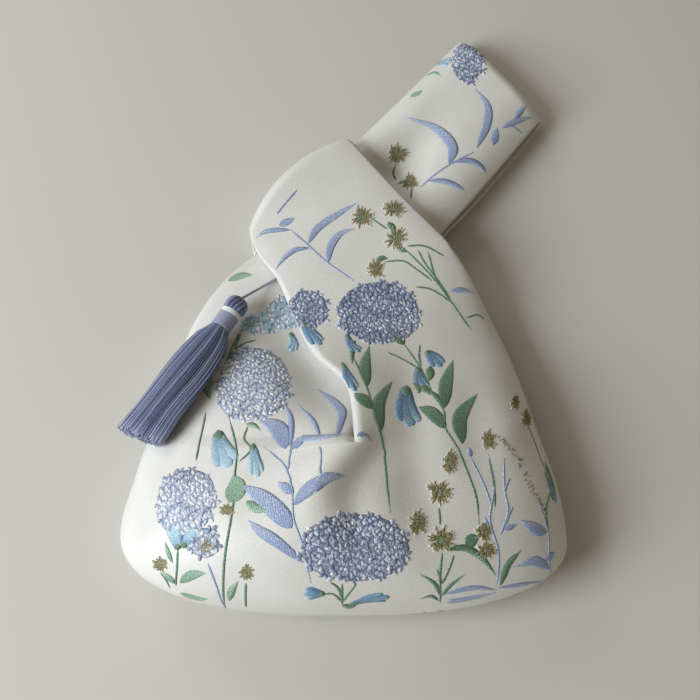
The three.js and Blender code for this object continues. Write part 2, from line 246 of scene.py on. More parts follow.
def left_front(rows, across):
    """Belly, pleat beside the crest and long strap, with a soft dent in the strap."""
    share = through([1, 1, 1, 1, 1, 0.95, 0.77, 0.46, 0.23, 0.06, 0, 0, 0, 0], rows, True)
    drop = through([0, 0, 0, 0, 0, 0, 0, 0, 0, 0, 0, 0.15, 0.35, 0.5], rows, True)
    strap_level = STRAP_FRONT - drop * STRAP_BACK * 1.6
    level = strap_level + (BELLY_HEIGHT - PLEAT_STEP - strap_level) * share
    pleat = through([0, 0, 0.15, 0.5, 1, 1.15, 1, 1, 1, 1, 1, 1, 1, 1], rows, True)
    under_band = 1 - 0.2 * ease(NECK, NECK + 1.0, rows)[:, None] * ease(0.95, 1, across)
    under_band = under_band * (1 - ease(NECK + 0.4, 7.4, rows))[:, None]
    ridge = PLEAT_STEP * ease(0.8, 1, across) * np.where((rows <= NECK)[:, None], pleat, 1) * under_band
    full = PLEAT_STEP * (1 - pleat)
    crown = STRAP_CROWN * arch(across) * ease(7, 9, rows)[:, None]
    dent_along = np.exp(-((rows - 10.5) / 0.9) ** 2)[:, None]
    dent = STRAP_DENT * np.exp(-((across - 0.4) / 0.19) ** 2) * dent_along
    return level + ridge + full + crown - dent


def right_front(rows, across):
    """Belly and band, which bows a little over the long strap."""
    share = through([1, 1, 1, 1, 1, 0.97, 0.76, 0.5, 0.3, 0.16, 0.02, 0], rows, True)
    return BAND_FRONT + (BELLY_HEIGHT - BAND_FRONT) * share + 2 * arch(across) * ease(7, 9, rows)[:, None]


def left_back(rows, across):
    """Flat back, which rises where the long strap lies over the short one."""
    start = through([1, 1, 1, 1, 1, 0.8, 0.6, 0.15, -0.15, -0.3, -0.3, -0.3, -0.3, -0.3], rows, True)
    lift = through([0, 0, 0, 0, 0, 1, 1, 1, 1, 1, 1, 0.5, 0.12, 0], rows, True)
    curled_rows = (ease(7.5, 9, rows) * (1 - ease(10.5, 11.5, rows)))[:, None]
    curl = STRAP_CURL * (2 * across - 1) ** 4 * curled_rows
    return STRAP_BACK * lift * ease(0, 1, (across - start) / 0.2) + curl


def right_back(rows, across):
    """Flat back, which lies on the floor."""
    return np.zeros((len(rows), across.shape[-1]))


# %% One strip as a grid of points
def strip_points(shape, heights, is_front, rows, across):
    """Rows of points from the outer edge to the inner edge, in drawing millimetres."""
    def plan(stations):
        outer, inner = through(shape["outer"], stations, False), through(shape["inner"], stations, False)
        strap_like = ease(shape["strap_from"], shape["strap_by"], stations)[:, None]
        turn = across * math.pi / 2
        a = mix(1 - np.cos(turn) ** (2 / CORNER_POWER), across, strap_like)
        b = mix(np.sin(turn) ** (2 / CORNER_POWER), across, strap_like)
        normal = np.stack([inner[:, 1] - outer[:, 1], outer[:, 0] - inner[:, 0]], 1) * shape["side"]
        normal /= np.linalg.norm(normal, axis=1, keepdims=True)
        bow = shape["bow"] * ease(shape["strap_from"], shape["last"], stations)[:, None]
        bulge = (bow * (1 - (2 * across - 1) ** 2))[..., None] * normal[:, None, :]
        x = mix(outer[:, None, 0], inner[:, None, 0], a)
        y = mix(outer[:, None, 1], inner[:, None, 1], b)
        return np.stack([x, y], -1) + bulge, a, strap_like

    def distance_to(other):
        return np.linalg.norm(place - other, axis=-1)

    across = np.clip(across, 0, 1)[None, :]
    place, a, strap_like = plan(rows)
    base_row, end_row = plan(np.array([0.0]))[0], plan(np.array([float(shape["last"])]))[0]
    sewn = (1 - ease(shape["sewn_to"], shape["sewn_to"] + shape["sewn_fade"], rows))[:, None]
    if is_front:
        side = mix(rounding(a, 1), 1, strap_like)
    else:
        narrowing = ease(shape["sewn_to"] - 3, shape["sewn_to"], rows)[:, None]
        side = rounding(distance_to(place[:, :1]), mix(BACK_ROUNDING, NECK_ROUNDING, narrowing))
    side = mix(1, side, sewn)
    base = rounding(distance_to(base_row), BASE_ROUNDING if is_front else BACK_ROUNDING)
    end = rounding(distance_to(end_row), shape["end_rounding"])
    near_end = ease(shape["sewn_to"], shape["last"], rows)[:, None]
    seam = mix(SEAM_HEIGHT, shape["end_height"], near_end) + (SEAM_GAP if is_front else -SEAM_GAP)
    z = mix(seam, heights(rows, across), side * base * end)
    return np.concatenate([place, z[..., None]], -1)


def stations_for(last):
    """Rows that are close together where the cloth turns under at the base and at the strap's end."""
    near_base = 0.5 * np.linspace(0, 1, 13) ** 2
    body = np.linspace(0.5, NECK, 44)
    strap = np.linspace(NECK, last - 0.5, int((last - 0.5 - NECK) * 13))
    near_end = last - 0.5 * np.linspace(1, 0, 13) ** 2
    return np.concatenate([near_base, body[1:], strap[1:], near_end[1:]])


ACROSS = np.linspace(0, 1, 61)
SHAPES = {"left": LEFT, "right": RIGHT}
ROWS = {half: stations_for(shape["last"]) for half, shape in SHAPES.items()}
HEIGHTS = {"left_front": left_front, "right_front": right_front,
           "left_back": left_back, "right_back": right_back}
grids = {}
for face in ("front", "back"):
    for half, shape in SHAPES.items():
        name = half + "_" + face
        grids[name] = strip_points(shape, HEIGHTS[name], face == "front", ROWS[half], ACROSS)
body_rows = int((ROWS["left"] <= NECK).sum())
RELAX_TURNS = 40
FOLD_SPOTS = 121


def relax(grid, free):
    """Ease the heights along the rows so that no crease shows where two spans meet."""
    for _ in range(RELAX_TURNS):
        eased = (grid[:-2, :, 2] + 2 * grid[1:-1, :, 2] + grid[2:, :, 2]) / 4
        grid[1:-1, :, 2] += (eased - grid[1:-1, :, 2]) * free[1:-1]


def press(grid, line, depth, width, free=1.0):
    """Press a soft valley into the cloth along a line on the plan; a negative depth raises a ridge."""
    spots = through(line, np.linspace(0, len(line) - 1, FOLD_SPOTS), False)
    near = np.exp(-(np.linalg.norm(grid[:, :, None, :2] - spots, axis=3) / width) ** 2)
    taper = np.sin(np.pi * np.linspace(0, 1, FOLD_SPOTS))
    grid[:, :, 2] -= depth * (near * taper).max(2) * free


# Folds of the front: a line on the plan, a depth and a width.
BODY_FOLDS = (
    ([(52, 132), (48, 98), (46, 66), (48, 36), (50, 8)], 7.0, 34),
    ([(31, 122), (29, 95), (30, 72), (31, 50), (34, 24)], 4.5, 14),
    ([(62, 110), (60, 80), (66, 48)], 2.0, 12),
    ([(-62, 100), (-60, 70), (-66, 40)], 1.6, 14),
    ([(9, 78), (5, 67), (-3, 58), (-10, 49), (-12, 40), (-11, 26)], -2.4, 6),
)
CREST_FOLD = [(11, 80), (11, 68), (8, 56), (4, 44), (1, 28), (0, 14)], 4.0, 13
STRAP_FOLDS = (
    ([(4, 74), (-4, 96), (-12, 114), (-22, 130), (-34, 150)], 9.0, 15),
    ([(2, 240), (14, 237), (26, 229), (40, 219)], 4.0, 9),
)
for half, rows in ROWS.items():
    middle_rows = (ease(2.2, 3.0, rows) * (1 - ease(7, 8, rows)))[:, None]
    inner_kept = 1 - ease(0.72, 0.86, ACROSS)[None, :] if half == "left" else 1.0
    relax(grids[half + "_front"], middle_rows * inner_kept)
    for line, depth, width in BODY_FOLDS:
        press(grids[half + "_front"], line, depth, width)
crest_kept = 1 - ease(0.93, 1.0, ACROSS)[None, :]
press(grids["right_front"], *CREST_FOLD, crest_kept)
long_strap_rows = ease(4.6, 6.4, ROWS["left"])[:, None]
for line, depth, width in STRAP_FOLDS:
    press(grids["left_front"], line, depth, width, long_strap_rows)
for face in ("front", "back"):
    grids["right_" + face][:body_rows, -1] = grids["left_" + face][:body_rows, -1]
print({name: grid.shape[:2] for name, grid in grids.items()})

# %% [markdown]
# ## The tassel's cord
# The cord is thin twisted silk. It comes out from under the band, where it is sewn to the strap, and ends
# in the head of the tassel. A curve with a round bevel is the plain way to draw a cord, and its points are
# listed.

# %% Cord
CORD_DIAMETER = 1.3
CORD_POINTS = 25
TASSEL_HINGE = np.array([*at(-0.48, 0.847), 36.0])
CORD_ROUTE = TASSEL_HINGE + np.array([(27, 18.6, -7.2), (19, 16.1, -7.2), (11.5, 11.1, -7), (5, 5.3, -4.2),
                                      (-0.2, -0.4, 0)])


def to_frame(points):
    """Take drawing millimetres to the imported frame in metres."""
    return (np.asarray(points, float) + SHIFT) * MM


def add_node(nodes, kind, **values):
    """Add a shader node and set its named inputs; an underscore stands for a space."""
    node = nodes.new("ShaderNode" + kind)
    for name, value in values.items():
        node.inputs[name.replace("_", " ")].default_value = value
    return node


def add_relief(nodes, links, shader, height, strength, distance):
    """Let a pattern raise the surface a little."""
    bump = add_node(nodes, "Bump", Strength=strength, Distance=distance)
    links.new(height, bump.inputs["Height"])
    links.new(bump.outputs["Normal"], shader.inputs["Normal"])


def twisted_finish(name, dark, pale, pitch):
    """Twisted thread: plies that show in the relief, and in the colour as painted shade in their grooves and
    painted light on their tops.
    """
    finish, nodes, links, shader = blank_finish(name, 0.4)
    place = add_node(nodes, "TexCoord")
    plies = add_node(nodes, "TexWave", Scale=2 * math.pi / 20 / (pitch * MM), Distortion=0.6)
    links.new(place.outputs["Object"], plies.inputs["Vector"])
    ramp = add_node(nodes, "ValToRGB")
    ramp.color_ramp.elements[0].color = linear(*dark)
    ramp.color_ramp.elements[1].color = linear(*pale)
    # The ply wave also sets the colour: painted shade in the grooves, painted light on the plies' tops.
    links.new(plies.outputs["Fac"], ramp.inputs["Fac"])
    links.new(ramp.outputs["Color"], shader.inputs["Base Color"])
    add_relief(nodes, links, shader, plies.outputs["Fac"], 0.6, 0.0003)
    return finish


cord_finish = twisted_finish("twisted_silk", (120, 124, 152), (196, 200, 220), 1.1)
cord_points = to_frame(through(CORD_ROUTE, np.linspace(0, len(CORD_ROUTE) - 1, CORD_POINTS), False))
cord_curve = bpy.data.curves.new("tassel_cord_silk", "CURVE")
cord_curve.dimensions = "3D"
cord_curve.bevel_depth = CORD_DIAMETER / 2 * MM
cord_curve.bevel_resolution = 3
cord_curve.use_fill_caps = True
spline = cord_curve.splines.new("POLY")
spline.points.add(len(cord_points) - 1)
for point, place in zip(spline.points, cord_points):
    point.co = (*place, 1)
cord = bpy.data.objects.new("tassel_cord_silk", cord_curve)
scene.collection.objects.link(cord)
cord_curve.materials.append(cord_finish)
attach(cord, "bag")
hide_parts("tassel_cord")

# %% [markdown]
# ## The cloth panels
# A sewn panel is one cloth, so each is one mesh. Two grids are added, their points are moved to the strip's
# places, and the grids are joined and welded along the crest. Solidify then gives the cloth its thickness
# on the inside.

# %% Build a panel
WELD = 0.000002
CLOTH_UNIT = 100.0


def flat_lengths(grid):
    """Lengths measured on the cloth: across from the inner edge, and along from the base."""
    across_steps = np.linalg.norm(np.diff(grid, axis=1), axis=2)
    across = np.concatenate([np.cumsum(across_steps[:, ::-1], 1)[:, ::-1], np.zeros((len(grid), 1))], 1)
    along_steps = np.linalg.norm(np.diff(grid, axis=0), axis=2)
    along = np.concatenate([np.zeros((1, grid.shape[1])), np.cumsum(along_steps, 0)], 0)
    return across, along


def add_strip(name, grid, side):
    """A grid primitive whose points are moved to a strip's places, with cloth lengths as its UV map."""
    rows, columns = grid.shape[:2]
    bpy.ops.object.select_all(action="DESELECT")
    bpy.ops.mesh.primitive_grid_add(x_subdivisions=columns - 1, y_subdivisions=rows - 1, size=2)
    strip = bpy.context.object
    strip.name = name
    flat = np.empty(len(strip.data.vertices) * 3)
    strip.data.vertices.foreach_get("co", flat)
    flat = flat.reshape(-1, 3)
    column = np.rint((flat[:, 0] + 1) / 2 * (columns - 1)).astype(int)
    row = np.rint((flat[:, 1] + 1) / 2 * (rows - 1)).astype(int)
    strip.data.vertices.foreach_set("co", to_frame(grid[row, column]).ravel())
    across, along = flat_lengths(grid)
    corner = np.empty(len(strip.data.loops), int)
    strip.data.loops.foreach_get("vertex_index", corner)
    lengths = np.stack([side * across[row, column], along[row, column]], 1)[corner] / CLOTH_UNIT
    strip.data.uv_layers[0].data.foreach_set("uv", lengths.ravel())
    strip.data.uv_layers[0].name = "cloth"
    return strip


def finish_panel(panel, thickness, sink):
    """Sink the sheet to its depth, then close it into a cloth."""
    if sink:
        sinking = panel.modifiers.new("sink", "DISPLACE")
        sinking.strength = -sink * MM
        sinking.mid_level = 0.0
        bpy.ops.object.modifier_apply(modifier="sink")
    wall = panel.modifiers.new("thickness", "SOLIDIFY")
    wall.thickness = thickness * MM
    wall.offset = -1.0
    bpy.ops.object.modifier_apply(modifier="thickness")
    bpy.ops.object.shade_smooth()


def make_panel(name, left, right, facing_up, thickness, sink):
    """One whole cloth panel in its place."""
    strips = []
    for suffix, grid, side in (("", left, -1), ("_right", right, 1)):
        strip = add_strip(name + suffix, grid, side)
        bpy.ops.object.mode_set(mode="EDIT")
        bpy.ops.mesh.select_all(action="SELECT")
        if (side < 0) != facing_up:
            bpy.ops.mesh.flip_normals()
        bpy.ops.object.mode_set(mode="OBJECT")
        strips.append(strip)
    bpy.ops.object.select_all(action="DESELECT")
    for strip in strips:
        strip.select_set(True)
    bpy.context.view_layer.objects.active = strips[0]
    bpy.ops.object.join()
    panel = bpy.context.object
    bpy.ops.object.mode_set(mode="EDIT")
    bpy.ops.mesh.select_all(action="SELECT")
    bpy.ops.mesh.remove_doubles(threshold=WELD)
    bpy.ops.object.mode_set(mode="OBJECT")
    finish_panel(panel, thickness, sink)
    return panel


def cloth_finish(name, pale, dark, roughness, sheen):
    """Satin cloth: short thread streaks across the width, a fine rib, and slow changes of tone."""
    finish, nodes, links, shader = blank_finish(name, roughness)
    place = add_node(nodes, "UVMap")
    place.uv_map = "cloth"

    def noise(scale):
        stretch = add_node(nodes, "Mapping", Scale=scale)
        links.new(place.outputs["UV"], stretch.inputs["Vector"])
        field = add_node(nodes, "TexNoise", Scale=1.0, Detail=2.0)
        links.new(stretch.outputs["Vector"], field.inputs["Vector"])
        return field.outputs["Fac"]

    streaks, slow = noise((60, 300, 1)), noise((3.2, 2.4, 1))
    blend = add_node(nodes, "Mix", Factor=0.4)
    links.new(streaks, blend.inputs["A"])
    links.new(slow, blend.inputs["B"])
    ramp = add_node(nodes, "ValToRGB")
    ramp.color_ramp.elements[0].position = 0.36
    ramp.color_ramp.elements[1].position = 0.62
    ramp.color_ramp.elements[0].color = linear(*dark)
    ramp.color_ramp.elements[1].color = linear(*pale)
    links.new(blend.outputs["Result"], ramp.inputs["Fac"])
    links.new(ramp.outputs["Color"], shader.inputs["Base Color"])
    rib = add_node(nodes, "TexWave", Scale=42.0, Distortion=2.0, Detail_Scale=3.0)
    rib.bands_direction = "Y"
    links.new(place.outputs["UV"], rib.inputs["Vector"])
    both = add_node(nodes, "Math")
    links.new(rib.outputs["Fac"], both.inputs[0])
    links.new(streaks, both.inputs[1])
    add_relief(nodes, links, shader, both.outputs["Value"], 0.16, 0.00025)
    shader.inputs["Sheen Weight"].default_value = sheen
    return finish


brocade_finish = cloth_finish("silver_brocade", (232, 231, 229), (214, 211, 207), 0.36, 0.2)
lining_finish = cloth_finish("lining_cloth", (222, 217, 210), (206, 200, 192), 0.6, 0.1)
CLOTHS = (("front_brocade", "outer_front", "front", BROCADE, 0, brocade_finish, "brocade"),
          ("back_brocade", "outer_back", "back", BROCADE, 0, brocade_finish, "brocade"),
          ("front_lining", "lining_front", "front", LINING, BROCADE + CLEARANCE, lining_finish, "lining"),
          ("back_lining", "lining_back", "back", LINING, BROCADE + CLEARANCE, lining_finish, "lining"))
for name, node, face, thickness, sink, finish, slot in CLOTHS:
    panel = make_panel(name, grids["left_" + face], grids["right_" + face], face == "front", thickness, sink)
    panel.data.materials.clear()
    panel.data.materials.append(finish)
    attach(panel, "bag")
    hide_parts(node)
    print(name, len(panel.data.polygons), "faces")

# %% [markdown]
# ## The flat cut of the cloth
# A weaver draws on flat cloth, so the pattern is drawn flat too. A coarse copy of each panel is unwrapped,
# which lays it out flat with little stretch. Points drawn on the flat cut are then carried back to the
# curved cloth. The straps cross each other, so a cut is laid out twice: once with the long strap and once
# with the short strap.

# %% Lay the cloth flat
def fine_normals(grid, side):
    """Outward directions of the cloth at every grid point."""
    down_rows, over_columns = np.gradient(grid, axis=0), np.gradient(grid, axis=1)
    normal = np.cross(over_columns, down_rows) * -side
    return normal / np.maximum(np.linalg.norm(normal, axis=2, keepdims=True), 1e-9)


def coarse_stations(last):
    """Fewer rows for the flat cut, still close together at the base and at the strap's end."""
    body = np.linspace(0.6, NECK, 13)
    strap = np.linspace(NECK, last - 0.3, int(last * 3))
    return np.concatenate([[0, 0.03, 0.12, 0.3], body, strap[1:], [last - 0.12, last - 0.03, last]])


def select_only(piece):
    """Make one piece the only selected and the active one."""
    bpy.ops.object.select_all(action="DESELECT")
    piece.select_set(True)
    bpy.context.view_layer.objects.active = piece


COARSE_ACROSS = np.linspace(0, 1, 21)
ROW_PACE = 3.0
RIGHT_OF_CREST = 20.0


class FlatCut:
    """A panel laid flat: the whole body with one of its two straps."""

    def __init__(self, face, whole):
        self.face, self.name = face, face + "_cut_with_" + whole
        places, given, tiles = self.coarse_panel(whole)
        solid, numbers = self.unwrap(places, tiles)
        self.given = [given[number] for number in numbers]
        self.straighten(solid)
        self.finder = BVHTree.FromPolygons([(u, v, 0) for u, v in self.flat], self.triangles)
        self.rows = [Vector((row, ROW_PACE * column, 0)) for row, column in self.given]
        self.half_finder = {}
        for half in SHAPES:
            own = [corners for corners, key in zip(self.triangles, self.halves) if key == half]
            self.half_finder[half] = own, BVHTree.FromPolygons(self.rows, own)
        print(self.name, "flat size, mm:", (self.flat.max(0) - self.flat.min(0)).round(0))

    def coarse_panel(self, whole):
        """Points of both halves, their rows and columns, and the tiles between them."""
        places, given, tiles = [], [], []
        width = len(COARSE_ACROSS)
        for half, shape in SHAPES.items():
            rows = coarse_stations(shape["last"])
            if half != whole:
                rows = rows[rows <= NECK]
            heights = HEIGHTS[half + "_" + self.face]
            grid = strip_points(shape, heights, self.face == "front", rows, COARSE_ACROSS)
            start = len(places)
            places.extend(grid.reshape(-1, 3))
            given.extend((row, column) for row in rows for column in COARSE_ACROSS)
            for row in range(len(rows) - 1):
                for column in range(width - 1):
                    a = start + row * width + column
                    tile = (a, a + 1, a + width + 1, a + width)
                    tiles.append((half, tile if half == "left" else tile[::-1]))
        return places, given, tiles

    def unwrap(self, places, tiles):
        """Lay the welded panel flat at its real size; give its places and its points' first numbers."""
        mesh = bpy.data.meshes.new(self.name)
        mesh.from_pydata(to_frame(places).tolist(), [], [tile for _, tile in tiles])
        cut = bpy.data.objects.new(self.name, mesh)
        scene.collection.objects.link(cut)
        number = mesh.attributes.new("number", "INT", "POINT")
        number.data.foreach_set("value", np.arange(len(places), dtype=np.int32))
        select_only(cut)
        mesh.uv_layers.new(name="flat")
        bpy.ops.object.mode_set(mode="EDIT")
        bpy.ops.mesh.select_all(action="SELECT")
        bpy.ops.mesh.remove_doubles(threshold=WELD)
        bpy.ops.mesh.select_all(action="SELECT")
        bpy.ops.uv.unwrap(method="ANGLE_BASED", margin=0)
        bpy.ops.object.mode_set(mode="OBJECT")
        flat = np.zeros((len(mesh.vertices), 2))
        for corner, uv in zip(mesh.loops, mesh.uv_layers[0].data):
            flat[corner.vertex_index] = uv.uv
        solid = np.array([vertex.co for vertex in mesh.vertices]) / MM
        edges = np.array([edge.vertices[:] for edge in mesh.edges])
        solid_lengths = np.linalg.norm(solid[edges[:, 0]] - solid[edges[:, 1]], axis=1)
        laid_lengths = np.linalg.norm(flat[edges[:, 0]] - flat[edges[:, 1]], axis=1)
        self.flat = flat * np.median(solid_lengths / np.maximum(laid_lengths, 1e-9))
        self.triangles, self.halves = [], []
        for polygon in mesh.polygons:
            a, b, c, d = polygon.vertices
            half = tiles[polygon.index][0]
            self.triangles += [(a, b, c), (a, c, d)]
            self.halves += [half, half]
        numbers = [item.value for item in mesh.attributes["number"].data]
        bpy.data.objects.remove(cut)
        return solid, numbers

    def straighten(self, solid):
        """Turn the flat cut so that its crest runs up from 0, 0 and its right half lies on the right."""
        crest_end = {}
        for index, (row, column) in enumerate(self.given):
            if column == 1.0 and (row == 0.0 or abs(row - NECK) < 1e-9):
                crest_end.setdefault(round(row), index)
        base, neck = self.flat[crest_end[0]], self.flat[crest_end[round(NECK)]]
        up = (neck - base) / np.linalg.norm(neck - base)
        turn = np.array([[up[1], -up[0]], [up[0], up[1]]])
        self.flat = (self.flat - base) @ turn.T
        if self.flat[solid[:, 0] > RIGHT_OF_CREST + SHIFT[0]][:, 0].mean() < 0:
            self.flat[:, 0] *= -1

    def lay(self, half, row, column):
        """The place on the flat cut of a row and column of one half."""
        own, finder = self.half_finder[half]
        near, _, index, _ = finder.find_nearest((row, ROW_PACE * column, 0))
        spots = [Vector((*self.flat[c], 0)) for c in own[index]]
        return np.array(barycentric_transform(near, *(self.rows[c] for c in own[index]), *spots)[:2])

    def carry(self, points):
        """Places and outward directions on the cloth for points on the flat cut."""
        places, outward = [], []
        for u, v in points:
            near, _, index, _ = self.finder.find_nearest((u, v, 0))
            corners = self.triangles[index]
            spots = [Vector((*self.flat[c], 0)) for c in corners]
            rows = [Vector((*self.given[c], 0)) for c in corners]
            row, column, _ = barycentric_transform(near, *spots, *rows)
            place, normal = on_cloth(self.halves[index] + "_" + self.face, row, column)
            places.append(place)
            outward.append(normal)
        return np.array(places), np.array(outward)


FACING_OVER = ("left_front", "right_back")
FINE_NORMALS = {}
for name, grid in grids.items():
    FINE_NORMALS[name] = fine_normals(grid, -1 if name in FACING_OVER else 1)


def on_cloth(half, row, column):
    """Read a half of a fine panel between its grid points."""
    rows = ROWS[half.split("_")[0]]
    i = int(np.clip(np.searchsorted(rows, row) - 1, 0, len(rows) - 2))
    w = np.clip((row - rows[i]) / (rows[i + 1] - rows[i]), 0, 1)
    x = np.clip(column, 0, 1) * (len(ACROSS) - 1)
    j = int(min(x, len(ACROSS) - 2))
    k = x - j
    blend = lambda field: ((field[i, j] * (1 - k) + field[i, j + 1] * k) * (1 - w)
                           + (field[i + 1, j] * (1 - k) + field[i + 1, j + 1] * k) * w)
    normal = blend(FINE_NORMALS[half])
    return blend(grids[half]), normal / np.linalg.norm(normal)


CUTS = {face: {"long": FlatCut(face, "left"), "short": FlatCut(face, "right")} for face in ("front", "back")}

# %% [markdown]
# ## From the picture to the flat cut
# The cloth shows hydrangeas, bell flowers, seed heads and long leaves. Their points were picked in the
# picture, which is 700 pixels wide. A line of sight through a pixel meets the front cloth at one place,
# and the flat cut tells where that place lies on the cloth before it is sewn.

# %% Look through a pixel
PICTURE_WIDTH = 700
FOCAL_PIXELS = LENS / SENSOR_WIDTH * PICTURE_WIDTH
OVAL_PROBE = 0.6
seat = Vector(np.array(camera.location) / MM - SHIFT)
seen_places, seen_rows, seen_tiles = [], [], []
for half, rows in ROWS.items():
    grid = grids[half + "_front"]
    height, width = grid.shape[:2]
    start = len(seen_places)
    seen_places.extend(Vector(place) for place in grid.reshape(-1, 3))
    seen_rows.extend((half, row, column) for row in rows for column in ACROSS)
    for row in range(height - 1):
        for a in range(start + row * width, start + (row + 1) * width - 1):
            seen_tiles += [(a, a + 1, a + width + 1), (a, a + width + 1, a + width)]
front_seen = BVHTree.FromPolygons(seen_places, seen_tiles)


def look(x, y):
    """Half, row and column of the front cloth at a pixel, or None beside the cloth."""
    aim = Vector((x - PICTURE_WIDTH / 2, PICTURE_WIDTH / 2 - y, -FOCAL_PIXELS)).normalized()
    place, _, index, _ = front_seen.ray_cast(seat, camera.rotation_euler.to_matrix() @ aim)
    if place is None:
        return None
    corners = seen_tiles[index]
    rows = [Vector((*seen_rows[c][1:], 0)) for c in corners]
    row, column, _ = barycentric_transform(place, *(seen_places[c] for c in corners), *rows)
    return seen_rows[corners[0]][0], row, column


def lay(points, cut=None):
    """Points of the picture as the name of a flat cut and places on it."""
    seen = [spot for spot in (look(*point) for point in points) if spot]
    straps = [half for half, row, _ in seen if row > NECK]
    cut = cut or ("long" if straps.count("left") > straps.count("right") else "short")
    kept = "left" if cut == "long" else "right"
    return cut, [CUTS["front"][cut].lay(*spot) for spot in seen if spot[1] <= NECK or spot[0] == kept]


def lay_blades(picked):
    """Blades with a width in millimetres and points of the picture, laid on the flat cut."""
    laid = []
    for width, points in picked:
        cut, places = lay(points)
        laid.append((cut, width, places))
    return laid


def lay_oval(x, y, wide, tall):
    """An oval of the picture as a cut's name, a middle and two half axes on the cut."""
    cut, (middle,) = lay([(x, y)])
    axes = []
    for dx, dy in ((wide * OVAL_PROBE, 0), (0, tall * OVAL_PROBE)):
        ahead, behind = lay([(x + dx, y + dy)], cut)[1], lay([(x - dx, y - dy)], cut)[1]
        reaches = [place - middle for place in ahead] + [middle - place for place in behind]
        axes.append(np.mean(reaches, axis=0) / OVAL_PROBE)
    return cut, middle, *axes


# %% Leaves in the picture
LILAC_LEAVES = lay_blades((
    (5.4, ((449, 164), (453, 148), (437, 129), (406, 117))),
    (4.5, ((477, 148), (487, 124), (487, 105), (474, 88))), (4.5, ((493, 145), (497, 127))),
    (3.6, ((452, 162), (471, 161), (483, 169), (485, 174))),
    (3.1, ((428, 181), (443, 181), (459, 187), (465, 191))), (3.1, ((502, 128), (517, 121), (533, 117))),
    (3.1, ((514, 120), (520, 112), (526, 106))), (2.7, ((291, 230), (277, 230), (264, 232), (256, 238))),
    (4, ((308, 244), (318, 228), (338, 214), (358, 202))),
    (4, ((328, 263), (331, 246), (340, 234), (356, 228))),
    (3.1, ((310, 248), (295, 250), (283, 259), (275, 270))), (4, ((279, 226), (295, 218))),
    (3, ((450, 291), (462, 290), (474, 293))), (2.2, ((504, 530), (517, 524))),
    (5, ((547, 532), (533, 528), (520, 520))), (4, ((550, 569), (534, 561), (513, 567))),
    (3.6, ((545, 561), (555, 552))), (2.7, ((444, 594), (473, 588), (498, 590))),
    (2.7, ((498, 588), (520, 585), (543, 580))), (2.2, ((448, 600), (475, 597), (498, 592))),
    (7.7, ((286, 449), (278, 428), (258, 419))), (2.7, ((291, 449), (291, 419), (284, 402))),
    (2.2, ((321, 437), (312, 419), (297, 404))), (4.5, ((337, 437), (342, 412), (331, 399), (316, 388))),
    (4.5, ((289, 452), (302, 439), (324, 437), (349, 433))), (4, ((296, 449), (304, 434))),
    (5.4, ((294, 505), (306, 491), (326, 478), (346, 476))), (4.5, ((294, 493), (278, 482))),
    (7.7, ((292, 528), (281, 515), (259, 495), (241, 485))),
    (4.5, ((304, 563), (276, 541), (259, 530), (248, 520))), (2.7, ((357, 436), (364, 434), (371, 441))),
    (2.7, ((471, 457), (468, 447))), (3.2, ((446, 603), (462, 600), (480, 598))),
))
GREEN_LEAVES = lay_blades((
    (4.5, ((410, 97), (416, 94), (423, 90))), (2.7, ((426, 76), (433, 73), (441, 76))),
    (2.2, ((398, 184), (402, 182), (407, 181))), (5.4, ((367, 387), (365, 366), (369, 346))),
    (5.9, ((374, 409), (363, 399), (354, 393))), (5.4, ((381, 431), (379, 404), (392, 381))),
    (5.4, ((404, 345), (398, 337), (392, 330))), (5.9, ((444, 408), (446, 384), (453, 360))),
    (6.3, ((446, 429), (432, 413), (418, 407))), (6.3, ((462, 444), (460, 418), (477, 394))),
    (4, ((421, 376), (424, 388), (434, 396))), (2.7, ((446, 550), (465, 548), (483, 559), (496, 576))),
    (3.1, ((500, 586), (508, 565), (521, 550))), (1.8, ((440, 596), (435, 584), (420, 574))),
    (1.8, ((442, 596), (450, 586), (465, 574))), (1.8, ((439, 601), (431, 596), (420, 599))),
    (4.5, ((228, 281), (240, 276), (253, 275))), (4, ((210, 399), (205, 380), (208, 363))),
    (3.1, ((223, 359), (226, 338))), (2.7, ((246, 424), (253, 425), (261, 431))),
    (8.6, ((229, 503), (236, 488), (233, 475))), (4, ((246, 501), (256, 508), (268, 511))),
    (4, ((180, 583), (192, 575), (206, 573))), (3.6, ((176, 584), (168, 577), (161, 573))),
    (5.5, ((180, 593), (194, 598), (208, 599))), (3.1, ((229, 601), (232, 590), (238, 581))),
    (2.2, ((173, 563), (168, 552), (165, 541))), (3.6, ((342, 604), (349, 607), (356, 605))),
    (2.7, ((355, 340), (352, 352), (352, 364))), (3.6, ((388, 222), (392, 227), (396, 232))),
    (3.1, ((376, 262), (382, 258), (388, 259))), (2.7, ((396, 246), (402, 250), (408, 252))),
    (3.6, ((226, 336), (223, 348), (221, 362))), (3, ((220, 374), (229, 368), (238, 364))),
    (4, ((247, 329), (254, 323), (262, 319))), (4, ((416, 378), (418, 386), (419, 394))),
    (4, ((430, 366), (430, 374), (428, 382))), (3, ((431, 391), (438, 399), (444, 408))),
    (5, ((465, 545), (472, 540), (479, 536))), (3.5, ((545, 462), (551, 478), (556, 495))),
    (4, ((206, 366), (209, 380), (211, 394))),
))
print(len(LILAC_LEAVES), "lilac leaves and", len(GREEN_LEAVES), "green leaves")

